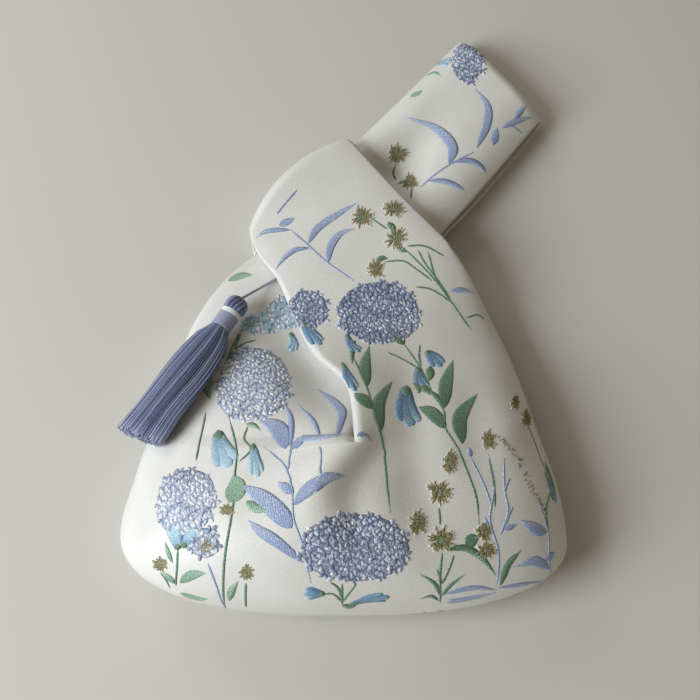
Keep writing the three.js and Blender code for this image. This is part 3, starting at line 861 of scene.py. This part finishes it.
# %% Bells and stems in the picture
BLUE_BELLS = lay_blades((
    (9, ((406, 389), (406, 408), (411, 426))), (7.2, ((427, 352), (434, 358), (440, 367))),
    (9, ((218, 434), (222, 450), (229, 467))), (5, ((253, 446), (255, 461), (258, 477))),
    (6.3, ((437, 64), (444, 62), (452, 61))), (4.5, ((347, 336), (352, 346), (360, 352))),
    (6.3, ((323, 594), (313, 593), (304, 594))), (5, ((352, 604), (370, 599), (389, 597))),
    (4.5, ((546, 475), (552, 490), (556, 503))), (6.3, ((178, 548), (176, 536), (172, 524))),
    (5.4, ((184, 546), (190, 534), (196, 528))), (4.5, ((291, 334), (294, 344), (290, 352))),
    (5.9, ((418, 369), (420, 380), (424, 389))), (6, ((304, 324), (312, 334), (321, 345))),
    (4.5, ((343, 365), (349, 378), (355, 391))),
))
LILAC_STEMS = [lay(points) for points in (
    ((420, 188), (433, 176), (449, 165), (474, 152)), ((354, 281), (328, 263), (309, 246), (291, 230)),
    ((277, 214), (280, 210), (297, 190)), ((488, 454), (494, 483), (490, 521), (498, 550), (496, 586)),
    ((504, 458), (505, 492), (508, 511), (500, 536)), ((471, 458), (483, 483), (492, 508)),
    ((538, 502), (548, 532), (549, 559), (549, 576)), ((319, 446), (321, 460), (321, 475)),
    ((264, 447), (284, 465), (291, 485), (294, 520), (302, 543), (311, 583)),
    ((291, 449), (289, 460), (288, 470)), ((208, 563), (216, 585), (226, 608)),
    ((502, 128), (510, 126), (522, 133)), ((513, 507), (508, 517), (506, 525)),
    ((484, 517), (489, 526), (492, 535)), ((510, 478), (507, 484), (505, 492)),
)]
GREEN_STEMS = [lay(points) for points in (
    ((396, 165), (393, 173), (396, 180)), ((412, 188), (411, 194), (411, 198)),
    ((371, 218), (378, 223), (387, 229)), ((407, 246), (424, 246), (444, 256)),
    ((404, 248), (432, 277), (454, 306), (471, 330)), ((418, 250), (424, 262), (436, 278), (450, 298)),
    ((428, 252), (436, 279), (448, 297)), ((384, 262), (403, 261), (416, 269), (432, 281)),
    ((416, 287), (430, 289), (454, 304)), ((466, 318), (478, 315), (484, 319)),
    ((390, 513), (385, 462), (381, 435), (368, 391), (352, 354)), ((387, 352), (404, 360), (421, 370)),
    ((400, 338), (418, 364), (431, 391), (444, 412), (445, 427), (462, 458), (475, 492), (479, 525)),
    ((439, 508), (440, 525)), ((427, 536), (434, 540)), ((442, 553), (440, 576), (440, 603)),
    ((454, 555), (442, 584)), ((437, 569), (442, 584)), ((521, 412), (534, 440), (542, 462), (550, 478)),
    ((550, 492), (546, 510), (548, 530)), ((206, 412), (200, 440), (196, 461)), ((241, 333), (229, 363)),
    ((229, 417), (236, 447), (235, 472), (233, 506), (224, 566), (226, 608)),
    ((248, 426), (244, 439), (251, 449), (239, 462)), ((342, 584), (342, 604)),
    ((330, 582), (338, 588), (342, 600)), ((356, 584), (350, 592), (342, 602)),
    ((323, 594), (333, 594), (342, 602)), ((178, 550), (177, 568), (176, 586)), ((246, 583), (246, 607)),
    ((160, 572), (166, 580), (170, 588)), ((420, 345), (419, 355), (421, 366)),
    ((240, 332), (233, 346), (226, 362)), ((256, 340), (243, 344), (233, 352), (227, 364)),
    ((489, 458), (491, 470), (494, 485), (495, 507)),
)]
print(len(BLUE_BELLS), "bells and", len(LILAC_STEMS) + len(GREEN_STEMS), "stems")

# %% Flower heads and seed heads in the picture
HEADS = [lay_oval(*oval) for oval in (
    (379, 313, 43, 32), (253, 384, 38, 38), (184, 500, 31, 34), (356, 549, 56, 36), (307, 310, 22, 20),
    (468, 60, 17, 21), (204, 543, 16, 16), (282, 314, 17, 17), (256, 326, 17, 10),
)]
UMBELS = [lay_oval(*oval) for oval in (
    (397, 154, 13, 11), (410, 182, 9, 9), (362, 217, 12, 12), (394, 209, 12, 9), (396, 238, 13, 12),
    (376, 269, 10, 10), (450, 462, 9, 13), (488, 440, 8, 11), (515, 402, 5, 9), (527, 418, 5, 9),
    (440, 492, 16, 13), (418, 523, 11, 13), (442, 540, 16, 15), (484, 532, 10, 10), (486, 550, 10, 10),
    (160, 564, 8, 8), (246, 573, 8, 8), (206, 546, 8, 8), (227, 510, 8, 6),
)]
SEED_SPIKE = lay(((500, 440), (517, 460), (532, 490), (546, 515)))
print(len(HEADS), "flower heads and", len(UMBELS), "seed heads")

# %% [markdown]
# ## Blades become raised threads
# A blade is a small grid along its line. Its edges lie on the cloth and its middle stands a little above
# it, so the weave looks raised. Every blade keeps its own lengths as a UV map, and a tint that its finish
# reads. The bag lies on its back, so the back panel's blades stand up less. On its body the pattern is
# turned over, so that the two panels do not mirror each other at the seam.

# %% Draw blades on the cloth
EDGE_RISE, BACK_LIFT, MIRRORED_BELOW = 0.03, 0.2, 185.0
THREAD_DEPTH, THREAD_UNIT = 0.3, 10.0
BLADE_STEP, BLADE_COLUMN = 1.3, 1.1
OFF_CLOTH, OFF_SHARE = 0.5, 0.2
# Painted shade: one side of every blade is tinted darker than the other.
PAINTED_SIDE_SHADE = 0.13


# Widths along a blade, from 0 at its start to 1 at its end.
def leaf_outline(t):
    return np.sin(np.pi * t ** 0.8) ** 0.85


def petal_outline(t):
    narrow, blunt = np.clip(t * 1.4, 0, 1), np.clip(t - 0.55, 0, 1) ** 2 / 0.2026
    return np.sqrt(narrow) * np.sqrt(np.clip(1 - blunt, 0, 1))


def oval_outline(t):
    return np.sqrt(np.clip(1 - (2 * t - 1) ** 2, 0, 1))


def bell_outline(t):
    return oval_outline(np.clip(t * 0.9 + 0.08, 0, 1)) ** 0.8


def stem_outline(t):
    return np.clip(np.minimum(t, 1 - t) * 12, 0.3, 1)


def thread_piece(name, places, faces, tints, uvs):
    """A mesh of threads with the tint and the lengths that its finish reads."""
    mesh = bpy.data.meshes.new(name)
    mesh.from_pydata(to_frame(places).tolist(), [], faces)
    piece = bpy.data.objects.new(name, mesh)
    scene.collection.objects.link(piece)
    tint = mesh.attributes.new("tint", "FLOAT", "POINT")
    tint.data.foreach_set("value", np.array(tints, np.float32))
    corners = np.empty(len(mesh.loops), int)
    mesh.loops.foreach_get("vertex_index", corners)
    mesh.uv_layers.new(name="threads").data.foreach_set("uv", np.array(uvs)[corners].ravel())
    select_only(piece)
    return piece


class Woven:
    """A set of blades in one colour family, gathered into one mesh."""

    def __init__(self, face, name):
        self.face, self.name = face, face + "_woven_" + name
        self.places, self.faces, self.uvs, self.tints = [], [], [], []

    def blade(self, cut, points, width, outline, lift, tint, steps=0, columns=0):
        """Lay one blade along points of a flat cut, unless too much of it lies off the cloth."""
        points = np.array(points, float)
        if self.face == "back" and points[:, 1].max() < MIRRORED_BELOW:
            points[:, 0] *= -1
            cut = "short" if cut == "long" else "long"
        cut = CUTS[self.face][cut]
        length = np.linalg.norm(np.diff(points, axis=0), axis=1).sum()
        steps = steps or max(6, int(length / BLADE_STEP))
        columns = columns or max(3, int(width / BLADE_COLUMN) // 2 * 2 + 1)
        t = np.linspace(0, 1, steps)
        centre = through(points, t * (len(points) - 1), False)
        along = np.gradient(centre, axis=0)
        along /= np.maximum(np.linalg.norm(along, axis=1, keepdims=True), 1e-9)
        b = np.linspace(-1, 1, columns)
        half = width / 2 * np.maximum(outline(t), 0.02)
        sideways = np.stack([-along[:, 1], along[:, 0]], 1)
        flat = centre[:, None] + sideways[:, None] * (half[:, None] * b)[..., None]
        off = sum(cut.finder.find_nearest((u, v, 0))[3] > OFF_CLOTH for u, v in flat.reshape(-1, 2))
        if off > OFF_SHARE * steps * columns:
            return
        places, outward = cut.carry(flat.reshape(-1, 2))
        lift *= 1 if self.face == "front" else BACK_LIFT
        swell = np.sin(np.pi * np.clip(t, 0.06, 0.94)) ** 0.4
        rise = (np.outer(swell, 1 - b * b) * lift + EDGE_RISE).ravel()
        start = len(self.places)
        self.places.extend(places + outward * rise[:, None])
        for row in range(steps - 1):
            for column in range(columns - 1):
                a = start + row * columns + column
                tile = (a, a + columns, a + columns + 1, a + 1)
                self.faces.append(tile if self.face == "front" else tile[::-1])
        lengths = np.stack([half[:, None] * b, (t * length)[:, None] + 0 * b], -1)
        self.uvs.extend(lengths.reshape(-1, 2) / THREAD_UNIT)
        low, high = tint
        # painted shade: the tint drops across the blade, darker on one side
        self.tints.extend((low + (high - low) * t[:, None] - PAINTED_SIDE_SHADE * b).ravel())

    def make(self, finish):
        """Close the gathered blades into one piece that rides on the bag."""
        piece = thread_piece(self.name, self.places, self.faces, self.tints, self.uvs)
        depth = piece.modifiers.new("depth", "SOLIDIFY")
        depth.thickness = THREAD_DEPTH * MM
        depth.offset = -1.0
        bpy.ops.object.modifier_apply(modifier="depth")
        bpy.ops.object.shade_smooth()
        piece.data.materials.append(finish)
        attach(piece, "bag")
        print(self.name, len(piece.data.polygons), "faces")
        return piece


# %% [markdown]
# ## Thread colours
# One recipe serves all the pattern colours. The tint walks along a colour ramp, fine noise breaks it up the
# way a loose weave does, and narrow waves across the blade stand for the single threads.

# %% Thread finishes
def woven_finish(name, colours, speckle, roughness=0.5):
    """Thread colours from dark to pale, broken up by a speckle of the given strength."""
    finish, nodes, links, shader = blank_finish(name, roughness)
    tint = add_node(nodes, "Attribute")
    tint.attribute_name = "tint"
    place = add_node(nodes, "UVMap")
    place.uv_map = "threads"
    noise = add_node(nodes, "TexNoise", Scale=13.0, Detail=2.0)
    links.new(place.outputs["UV"], noise.inputs["Vector"])
    spread = add_node(nodes, "MapRange", From_Min=0.35, From_Max=0.65, To_Min=-speckle, To_Max=speckle)
    links.new(noise.outputs["Fac"], spread.inputs["Value"])
    total = add_node(nodes, "Math")
    links.new(tint.outputs["Fac"], total.inputs[0])
    links.new(spread.outputs["Result"], total.inputs[1])
    ramp = add_node(nodes, "ValToRGB")
    stops = ramp.color_ramp.elements
    while len(stops) < len(colours):
        stops.new(0.5)
    for number, colour in enumerate(colours):
        stops[number].position = number / (len(colours) - 1)
        stops[number].color = linear(*colour)
    links.new(total.outputs["Value"], ramp.inputs["Fac"])
    links.new(ramp.outputs["Color"], shader.inputs["Base Color"])
    thread = add_node(nodes, "TexWave", Scale=5.0, Distortion=1.5)
    thread.bands_direction = "DIAGONAL"
    links.new(place.outputs["UV"], thread.inputs["Vector"])
    add_relief(nodes, links, shader, thread.outputs["Fac"], 0.35, 0.0003)
    shader.inputs["Sheen Weight"].default_value = 0.25
    return finish


blossom_colours = [(98, 106, 136), (142, 152, 182), (188, 196, 216), (240, 241, 245)]
blossom_finish = woven_finish("blossom_threads", blossom_colours, 0.26)
lilac_finish = woven_finish("lilac_threads", [(124, 138, 180), (156, 171, 206), (212, 221, 236)], 0.32)
leaf_finish = woven_finish("leaf_threads", [(74, 103, 83), (104, 139, 114), (162, 192, 174)], 0.3)
bell_finish = woven_finish("bell_threads", [(82, 110, 144), (122, 158, 188), (182, 212, 226)], 0.25)
gold_finish = woven_finish("seed_threads", [(108, 102, 68), (158, 147, 106), (234, 228, 206)], 0.3)

# %% [markdown]
# ## Weave the flowers
# A hydrangea head is a dark oval with small four-petal flowers scattered over it like seeds in a sunflower.
# A seed head is a burst of short strokes with pale tips. A bell is three blades with a green cup, and leaves
# and stems are single blades.

# %% Weave one flower
chance = random.Random(7)
# Painted light: bells and green leaves left of LIT_SIDE, where the window light falls, are made paler by
# LIT_TONE.
LEAF_FULLNESS, STEM_WIDTH, LIT_SIDE, LIT_TONE = 1.12, 1.1, -40.0, 0.42
LEAF_LIFT, STEM_LIFT, BELL_LIFT, PETAL_LIFT, GROUND_LIFT = 0.3, 0.25, 0.4, 0.5, 0.15
STROKE_LIFT, SEED_LIFT, CUP_LIFT = 0.45, 0.6, 0.6
FLOWER_STEP, FLOWER_STRAY, PETAL_LENGTH, PETAL_WIDTH = 4.0, 0.5, 2.9, 2.1
HEAD_FILL = 0.96
# A tone for each head: heads on the lit left are painted lighter and heads in the shade darker, painted
# light and shade; the rest of the spread is the heads' own tone.
HEAD_TONE_AND_PAINTED_LIGHT = (-0.05, 0.26, 0.26, 0, -0.05, 0, 0.2, 0.4, 0.4)
TEAL_HEADS = (7, 8)
SEED_STROKES, SPIKE_SEEDS, SPIKE_SPREAD = 30, 64, 1.9
SEED_REACH = np.array([0.9, 0.9])
GOLDEN_TURN = 2.39996


def stray(reach):
    """A small step to a place nearby."""
    return np.array([chance.uniform(-reach, reach), chance.uniform(-reach, reach)])


def weave_bell(bells, leaves, cut, width, points):
    """Two side lobes, a middle lobe over them, and a green cup at the stalk."""
    base, middle, tip = points
    # painted light: a bell on the lit left is made paler
    pale = LIT_TONE * (base[0] < LIT_SIDE)
    aside = np.array([base[1] - tip[1], tip[0] - base[0]]) / np.linalg.norm(tip - base) * width * 0.32
    for lobe in (-1, 1, 0):
        lobe_end = tip + lobe * aside * 1.5 - (tip - middle) * 0.25 * abs(lobe)
        line = base, middle + lobe * aside * 0.8, lobe_end
        lobe_width = width * (0.9 if lobe == 0 else 0.62)
        tint = 0.1 + pale, 0.6 + pale + 0.2 * lobe
        bells.blade(cut, line, lobe_width, bell_outline, BELL_LIFT, tint)
    cup = base + (base - middle) * 0.2, middle + (base - middle) * 0.55
    leaves.blade(cut, cup, width * 0.6, leaf_outline, CUP_LIFT, (0.2, 0.6))


def weave_head(blossoms, bells, place, cut, middle, first, second):
    """A dark oval ground with four-petal flowers scattered over it."""
    # painted light and shade: the head's tone is raised on the lit left and lowered in the shade
    shade = HEAD_TONE_AND_PAINTED_LIGHT[place]
    ground = middle - first * HEAD_FILL, middle, middle + first * HEAD_FILL
    wide, tall = np.linalg.norm(first), np.linalg.norm(second)
    blossoms.blade(cut, ground, 1.9 * tall, oval_outline, GROUND_LIFT, (0.1 + shade, 0.3 + shade))
    count = int(math.pi * wide * tall / (FLOWER_STEP ** 2 * 0.8))
    for number in range(count):
        reach, turn = math.sqrt((number + 0.5) / count), number * GOLDEN_TURN
        spot = middle + reach * (math.cos(turn) * first + math.sin(turn) * second) * HEAD_FILL
        spot += stray(FLOWER_STRAY)
        flowers = bells if place in TEAL_HEADS and number % 3 else blossoms
        start, tone = chance.uniform(0, 90), chance.uniform(0.1, 0.6) + shade
        for petal in range(4):
            reach = PETAL_LENGTH * chance.uniform(0.8, 1.15)
            tip = spot + heading(start + petal * 90 + chance.uniform(-20, 20)) * reach
            bright = tone + 0.25 * (petal % 2)
            tint = bright - 0.25, bright + 0.25
            flowers.blade(cut, (spot, tip), PETAL_WIDTH, petal_outline, PETAL_LIFT, tint, 5, 3)


def weave_seed_head(seeds, leaves, cut, middle, first, second):
    """A green heart with a burst of strokes, each with a pale tip, and loose seeds between."""
    heart = middle - first * 0.5, middle, middle + first * 0.5
    leaves.blade(cut, heart, np.linalg.norm(second), oval_outline, GROUND_LIFT, (0.5, 0.8))
    for stroke in range(SEED_STROKES):
        turn = stroke * GOLDEN_TURN + chance.uniform(-0.15, 0.15)
        ray = (math.cos(turn) * first + math.sin(turn) * second) * chance.uniform(0.55, 1.08)
        line, tip = (middle + ray * 0.35, middle + ray), (middle + ray * 0.78, middle + ray * 1.05)
        seeds.blade(cut, line, 1.2, leaf_outline, STROKE_LIFT, (0.1, 0.55), 5, 3)
        seeds.blade(cut, tip, 0.85, oval_outline, SEED_LIFT, (0.6, 0.95), 4, 3)
        spot = middle + ray * chance.uniform(0.05, 0.75)
        seed = spot - SEED_REACH / 2, spot + SEED_REACH / 2
        tint = chance.uniform(0, 0.5), chance.uniform(0.3, 1)
        seeds.blade(cut, seed, 1.1, oval_outline, SEED_LIFT, tint, 4, 3)


def weave_spike(seeds, cut, line):
    """Loose seeds along a line, widest in its middle."""
    for share in np.linspace(0, len(line) - 1, SPIKE_SEEDS):
        aside = SPIKE_SPREAD * math.sin(math.pi * min(1, 0.2 + share / len(line)))
        spot = through(line, [share], False)[0] + stray(aside)
        tint = chance.uniform(0.1, 0.5), 0.8
        seeds.blade(cut, (spot, spot + SEED_REACH), 0.9, oval_outline, STROKE_LIFT, tint, 4, 3)


# %% Weave the pattern
def weave(face):
    """Weave the whole pattern into one panel and give its five pieces."""
    leaves, lilacs, bells = Woven(face, "leaves"), Woven(face, "lilac_leaves"), Woven(face, "bells")
    blossoms, seeds = Woven(face, "blossoms"), Woven(face, "seed_heads")
    for cut, width, points in LILAC_LEAVES:
        lilacs.blade(cut, points, width * LEAF_FULLNESS, leaf_outline, LEAF_LIFT, (0.25, 0.7))
    for cut, points in LILAC_STEMS:
        lilacs.blade(cut, points, STEM_WIDTH, stem_outline, STEM_LIFT, (0.5, 0.4))
    for cut, width, points in GREEN_LEAVES:
        # painted light: a green leaf on the lit left is made paler
        pale = LIT_TONE * (points[0][0] < LIT_SIDE)
        leaves.blade(cut, points, width * LEAF_FULLNESS, leaf_outline, LEAF_LIFT, (0.2 + pale, 0.6 + pale))
    for cut, points in GREEN_STEMS:
        leaves.blade(cut, points, STEM_WIDTH, stem_outline, STEM_LIFT, (0.45, 0.3))
    for bell in BLUE_BELLS:
        weave_bell(bells, leaves, *bell)
    for place, head in enumerate(HEADS):
        weave_head(blossoms, bells, place, *head)
    for umbel in UMBELS:
        weave_seed_head(seeds, leaves, *umbel)
    weave_spike(seeds, *SEED_SPIKE)
    return [blossoms.make(blossom_finish), lilacs.make(lilac_finish), leaves.make(leaf_finish),
            bells.make(bell_finish), seeds.make(gold_finish)]


patterns = {face: weave(face) for face in ("front", "back")}

# %% [markdown]
# ## The tassel
# The tassel is all thread: loops drawn over the cord's end, a binding wound round the neck, and a skirt of
# loose strands that spreads and sags to its cut ends. One helper sweeps a small ring along many lines at
# once.

# %% Lines of the tassel
def unit(vector):
    """The same direction with a length of one."""
    return np.array(vector, float) / np.linalg.norm(vector)


TASSEL_AXIS = unit((-25, -41, 0.4))
TASSEL_SIDE = unit((-TASSEL_AXIS[1], TASSEL_AXIS[0], 0))
TASSEL_UP = unit(np.cross(TASSEL_SIDE, TASSEL_AXIS))
TASSEL_UP *= np.sign(TASSEL_UP[2])
HEAD_START, HEAD_LENGTH, HEAD_RADIUS = 1.1, 9.0, 5.6
BINDING_LENGTH, BINDING_RADIUS = 11.0, 5.2
SKIRT_LENGTH, SKIRT_WIDTH, SKIRT_THICKNESS, SKIRT_ROLL = 67.0, 35.0, 9.0, 34.0
SKIRT_SAG = np.array([-1.3, 4.0, -6.0])
RING_START = TASSEL_UP + 0.31 * TASSEL_SIDE


def tassel_place(reach, wide, tall):
    """A point at a distance from the hinge, set off sideways and upwards in the tassel's own turn."""
    drape = max(0.0, (reach - HEAD_LENGTH - BINDING_LENGTH) / SKIRT_LENGTH)
    roll = math.radians(SKIRT_ROLL) * float(ease(0, 0.8, drape))
    across = TASSEL_SIDE * math.cos(roll) + TASSEL_UP * math.sin(roll)
    upward = TASSEL_UP * math.cos(roll) - TASSEL_SIDE * math.sin(roll)
    return TASSEL_HINGE + TASSEL_AXIS * reach + SKIRT_SAG * drape ** 2 + across * wide + upward * tall


def sweep(name, lines, sides, finish, node):
    """Closed tubes along lines; each line is (points, radii, tints)."""
    places, faces, tints, uvs = [], [], [], []
    turns = np.linspace(0, 2 * math.pi, sides, endpoint=False)
    for points, radii, tones in lines:
        points = np.array(points)
        along = np.gradient(points, axis=0)
        along /= np.maximum(np.linalg.norm(along, axis=1, keepdims=True), 1e-9)
        first = np.cross(along, RING_START)
        first /= np.linalg.norm(first, axis=1, keepdims=True)
        second = np.cross(along, first)
        start, count = len(places), len(points)
        lengths = np.concatenate([[0], np.cumsum(np.linalg.norm(np.diff(points, axis=0), axis=1))])
        for row in range(count):
            for side, turn in enumerate(turns):
                spoke = first[row] * math.cos(turn) + second[row] * math.sin(turn)
                places.append(points[row] + radii[row] * spoke)
                tints.append(tones[row])
                uvs.append((side / sides, lengths[row] / THREAD_UNIT))
        for row in range(count - 1):
            for side in range(sides):
                a, b = start + row * sides + side, start + row * sides + (side + 1) % sides
                faces.append((a, b, b + sides, a + sides))
        faces.append(tuple(start + side for side in reversed(range(sides))))
        faces.append(tuple(start + (count - 1) * sides + side for side in range(sides)))
    piece = thread_piece(name, places, faces, tints, uvs)
    bpy.ops.object.mode_set(mode="EDIT")
    bpy.ops.mesh.select_all(action="SELECT")
    bpy.ops.mesh.normals_make_consistent(inside=False)
    bpy.ops.object.mode_set(mode="OBJECT")
    bpy.ops.object.shade_smooth_by_angle(angle=math.radians(60))
    piece.data.materials.append(finish)
    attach(piece, "tassel")
    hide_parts(node)
    print(name, len(piece.data.polygons), "faces")


# %% Head of the tassel
SILK_COLOURS = [(60, 65, 92), (101, 109, 147), (143, 152, 189), (204, 209, 229)]
BINDING_COLOURS = [(118, 122, 150), (160, 164, 188), (236, 237, 242)]
SILK_ROUGHNESS = 0.36
silk_finish = woven_finish("tassel_silk", SILK_COLOURS, 0.12, SILK_ROUGHNESS)
binding_finish = woven_finish("binding_silk", BINDING_COLOURS, 0.08, SILK_ROUGHNESS)

HEAD_SHAPE = [(0, 0.2), (0.1, 0.6), (0.33, 0.92), (0.65, 1), (0.88, 0.94), (1, 0.8)]
HEAD_ROWS, LOOPS, LOOP_RADIUS, LOOP_TWIST = 14, 15, 0.95, 0.5
head_shares = np.linspace(0, 1, HEAD_ROWS)
head_radii = HEAD_RADIUS * np.interp(head_shares, *zip(*HEAD_SHAPE))
head_reach = HEAD_START + head_shares * (HEAD_LENGTH - HEAD_START)
head_core = [tassel_place(reach, 0, 0) for reach in head_reach]
# The core under the loops is tinted dark, so the gaps between loops show painted shade.
head_lines = [(head_core, head_radii * 0.86, [0.1] * HEAD_ROWS)]
loop_radii = np.full(HEAD_ROWS, LOOP_RADIUS) * np.clip(head_radii / 4, 0.45, 1)
for loop in range(LOOPS):
    tone = chance.uniform(0.15, 0.6)
    path = []
    for share, radius, reach in zip(head_shares, head_radii, head_reach):
        turn = loop * 2 * math.pi / LOOPS + LOOP_TWIST * share
        out = max(radius - LOOP_RADIUS * 0.8, 0.3)
        path.append(tassel_place(reach, out * math.cos(turn), out * math.sin(turn)))
    head_lines.append((path, loop_radii, [tone] * HEAD_ROWS))
sweep("tassel_head_loops", head_lines, 8, silk_finish, "tassel_head")

# %% Binding of the tassel
WRAPS, WRAP_STEPS, THREAD_RADIUS, SLEEVE_ROWS = 12, 18, 0.5, 6
# Painted highlight: the first wraps at the top of the binding are near white, for the highlight along its
# upper edge.
HIGHLIGHT_WRAPS, PAINTED_HIGHLIGHT_TONE, WRAP_TONE = 0.2, 0.95, 0.35
binding_from, binding_to = HEAD_LENGTH + 0.6, HEAD_LENGTH + BINDING_LENGTH - 0.3
sleeve_radius = BINDING_RADIUS - THREAD_RADIUS
wind = np.linspace(0, 1, WRAPS * WRAP_STEPS)
wrap_path, wrap_tints = [], []
for share in wind:
    turn = share * WRAPS * 2 * math.pi
    reach = binding_from + (binding_to - binding_from) * share
    wrap_path.append(tassel_place(reach, sleeve_radius * math.cos(turn), sleeve_radius * math.sin(turn)))
    # painted highlight on the first wraps, plain wrap tone after them
    wrap_tints.append(PAINTED_HIGHLIGHT_TONE if share < HIGHLIGHT_WRAPS else WRAP_TONE + 0.1 * math.sin(share * 40))
sleeve = [tassel_place(reach, 0, 0) for reach in np.linspace(binding_from, binding_to, SLEEVE_ROWS)]
binding_lines = [(wrap_path, np.full(len(wind), THREAD_RADIUS), wrap_tints),
                 (sleeve, np.full(SLEEVE_ROWS, sleeve_radius), [WRAP_TONE] * SLEEVE_ROWS)]
sweep("tassel_binding_thread", binding_lines, 10, binding_finish, "tassel_binding")

# %% Skirt of the tassel
STRANDS, STRAND_RADIUS, STRAND_ROWS, STRAND_TUCK = 420, 0.42, 10, 0.5
skirt_root = BINDING_RADIUS * 0.85
skirt_shares = np.linspace(0, 1, STRAND_ROWS)
strand_shade = np.where(skirt_shares > 0.95, 0.25, 0.0)
skirt_lines = []
for strand in range(STRANDS):
    reach_out, turn = math.sqrt((strand + 0.5) / STRANDS), strand * GOLDEN_TURN
    tone, wave, phase = chance.uniform(0.05, 0.8), chance.uniform(0, 0.5), chance.uniform(0, 6.28)
    end = chance.uniform(0.965, 1.0)
    path = []
    for share in skirt_shares * end:
        spread = share ** 0.56
        wide = skirt_root + (SKIRT_WIDTH / 2 - skirt_root) * spread
        tall = skirt_root + (SKIRT_THICKNESS / 2 - skirt_root) * spread
        aside = reach_out * math.cos(turn) * wide + wave * math.sin(share * 7 + phase) * share
        reach = HEAD_LENGTH + BINDING_LENGTH - STRAND_TUCK + (SKIRT_LENGTH + STRAND_TUCK) * share
        path.append(tassel_place(reach, aside, reach_out * math.sin(turn) * tall))
    tones = np.clip(tone + strand_shade - 0.15 * (1 - skirt_shares), 0, 1)
    skirt_lines.append((path, np.full(STRAND_ROWS, STRAND_RADIUS), tones))
sweep("tassel_skirt_strands", skirt_lines, 5, silk_finish, "tassel_skirt")
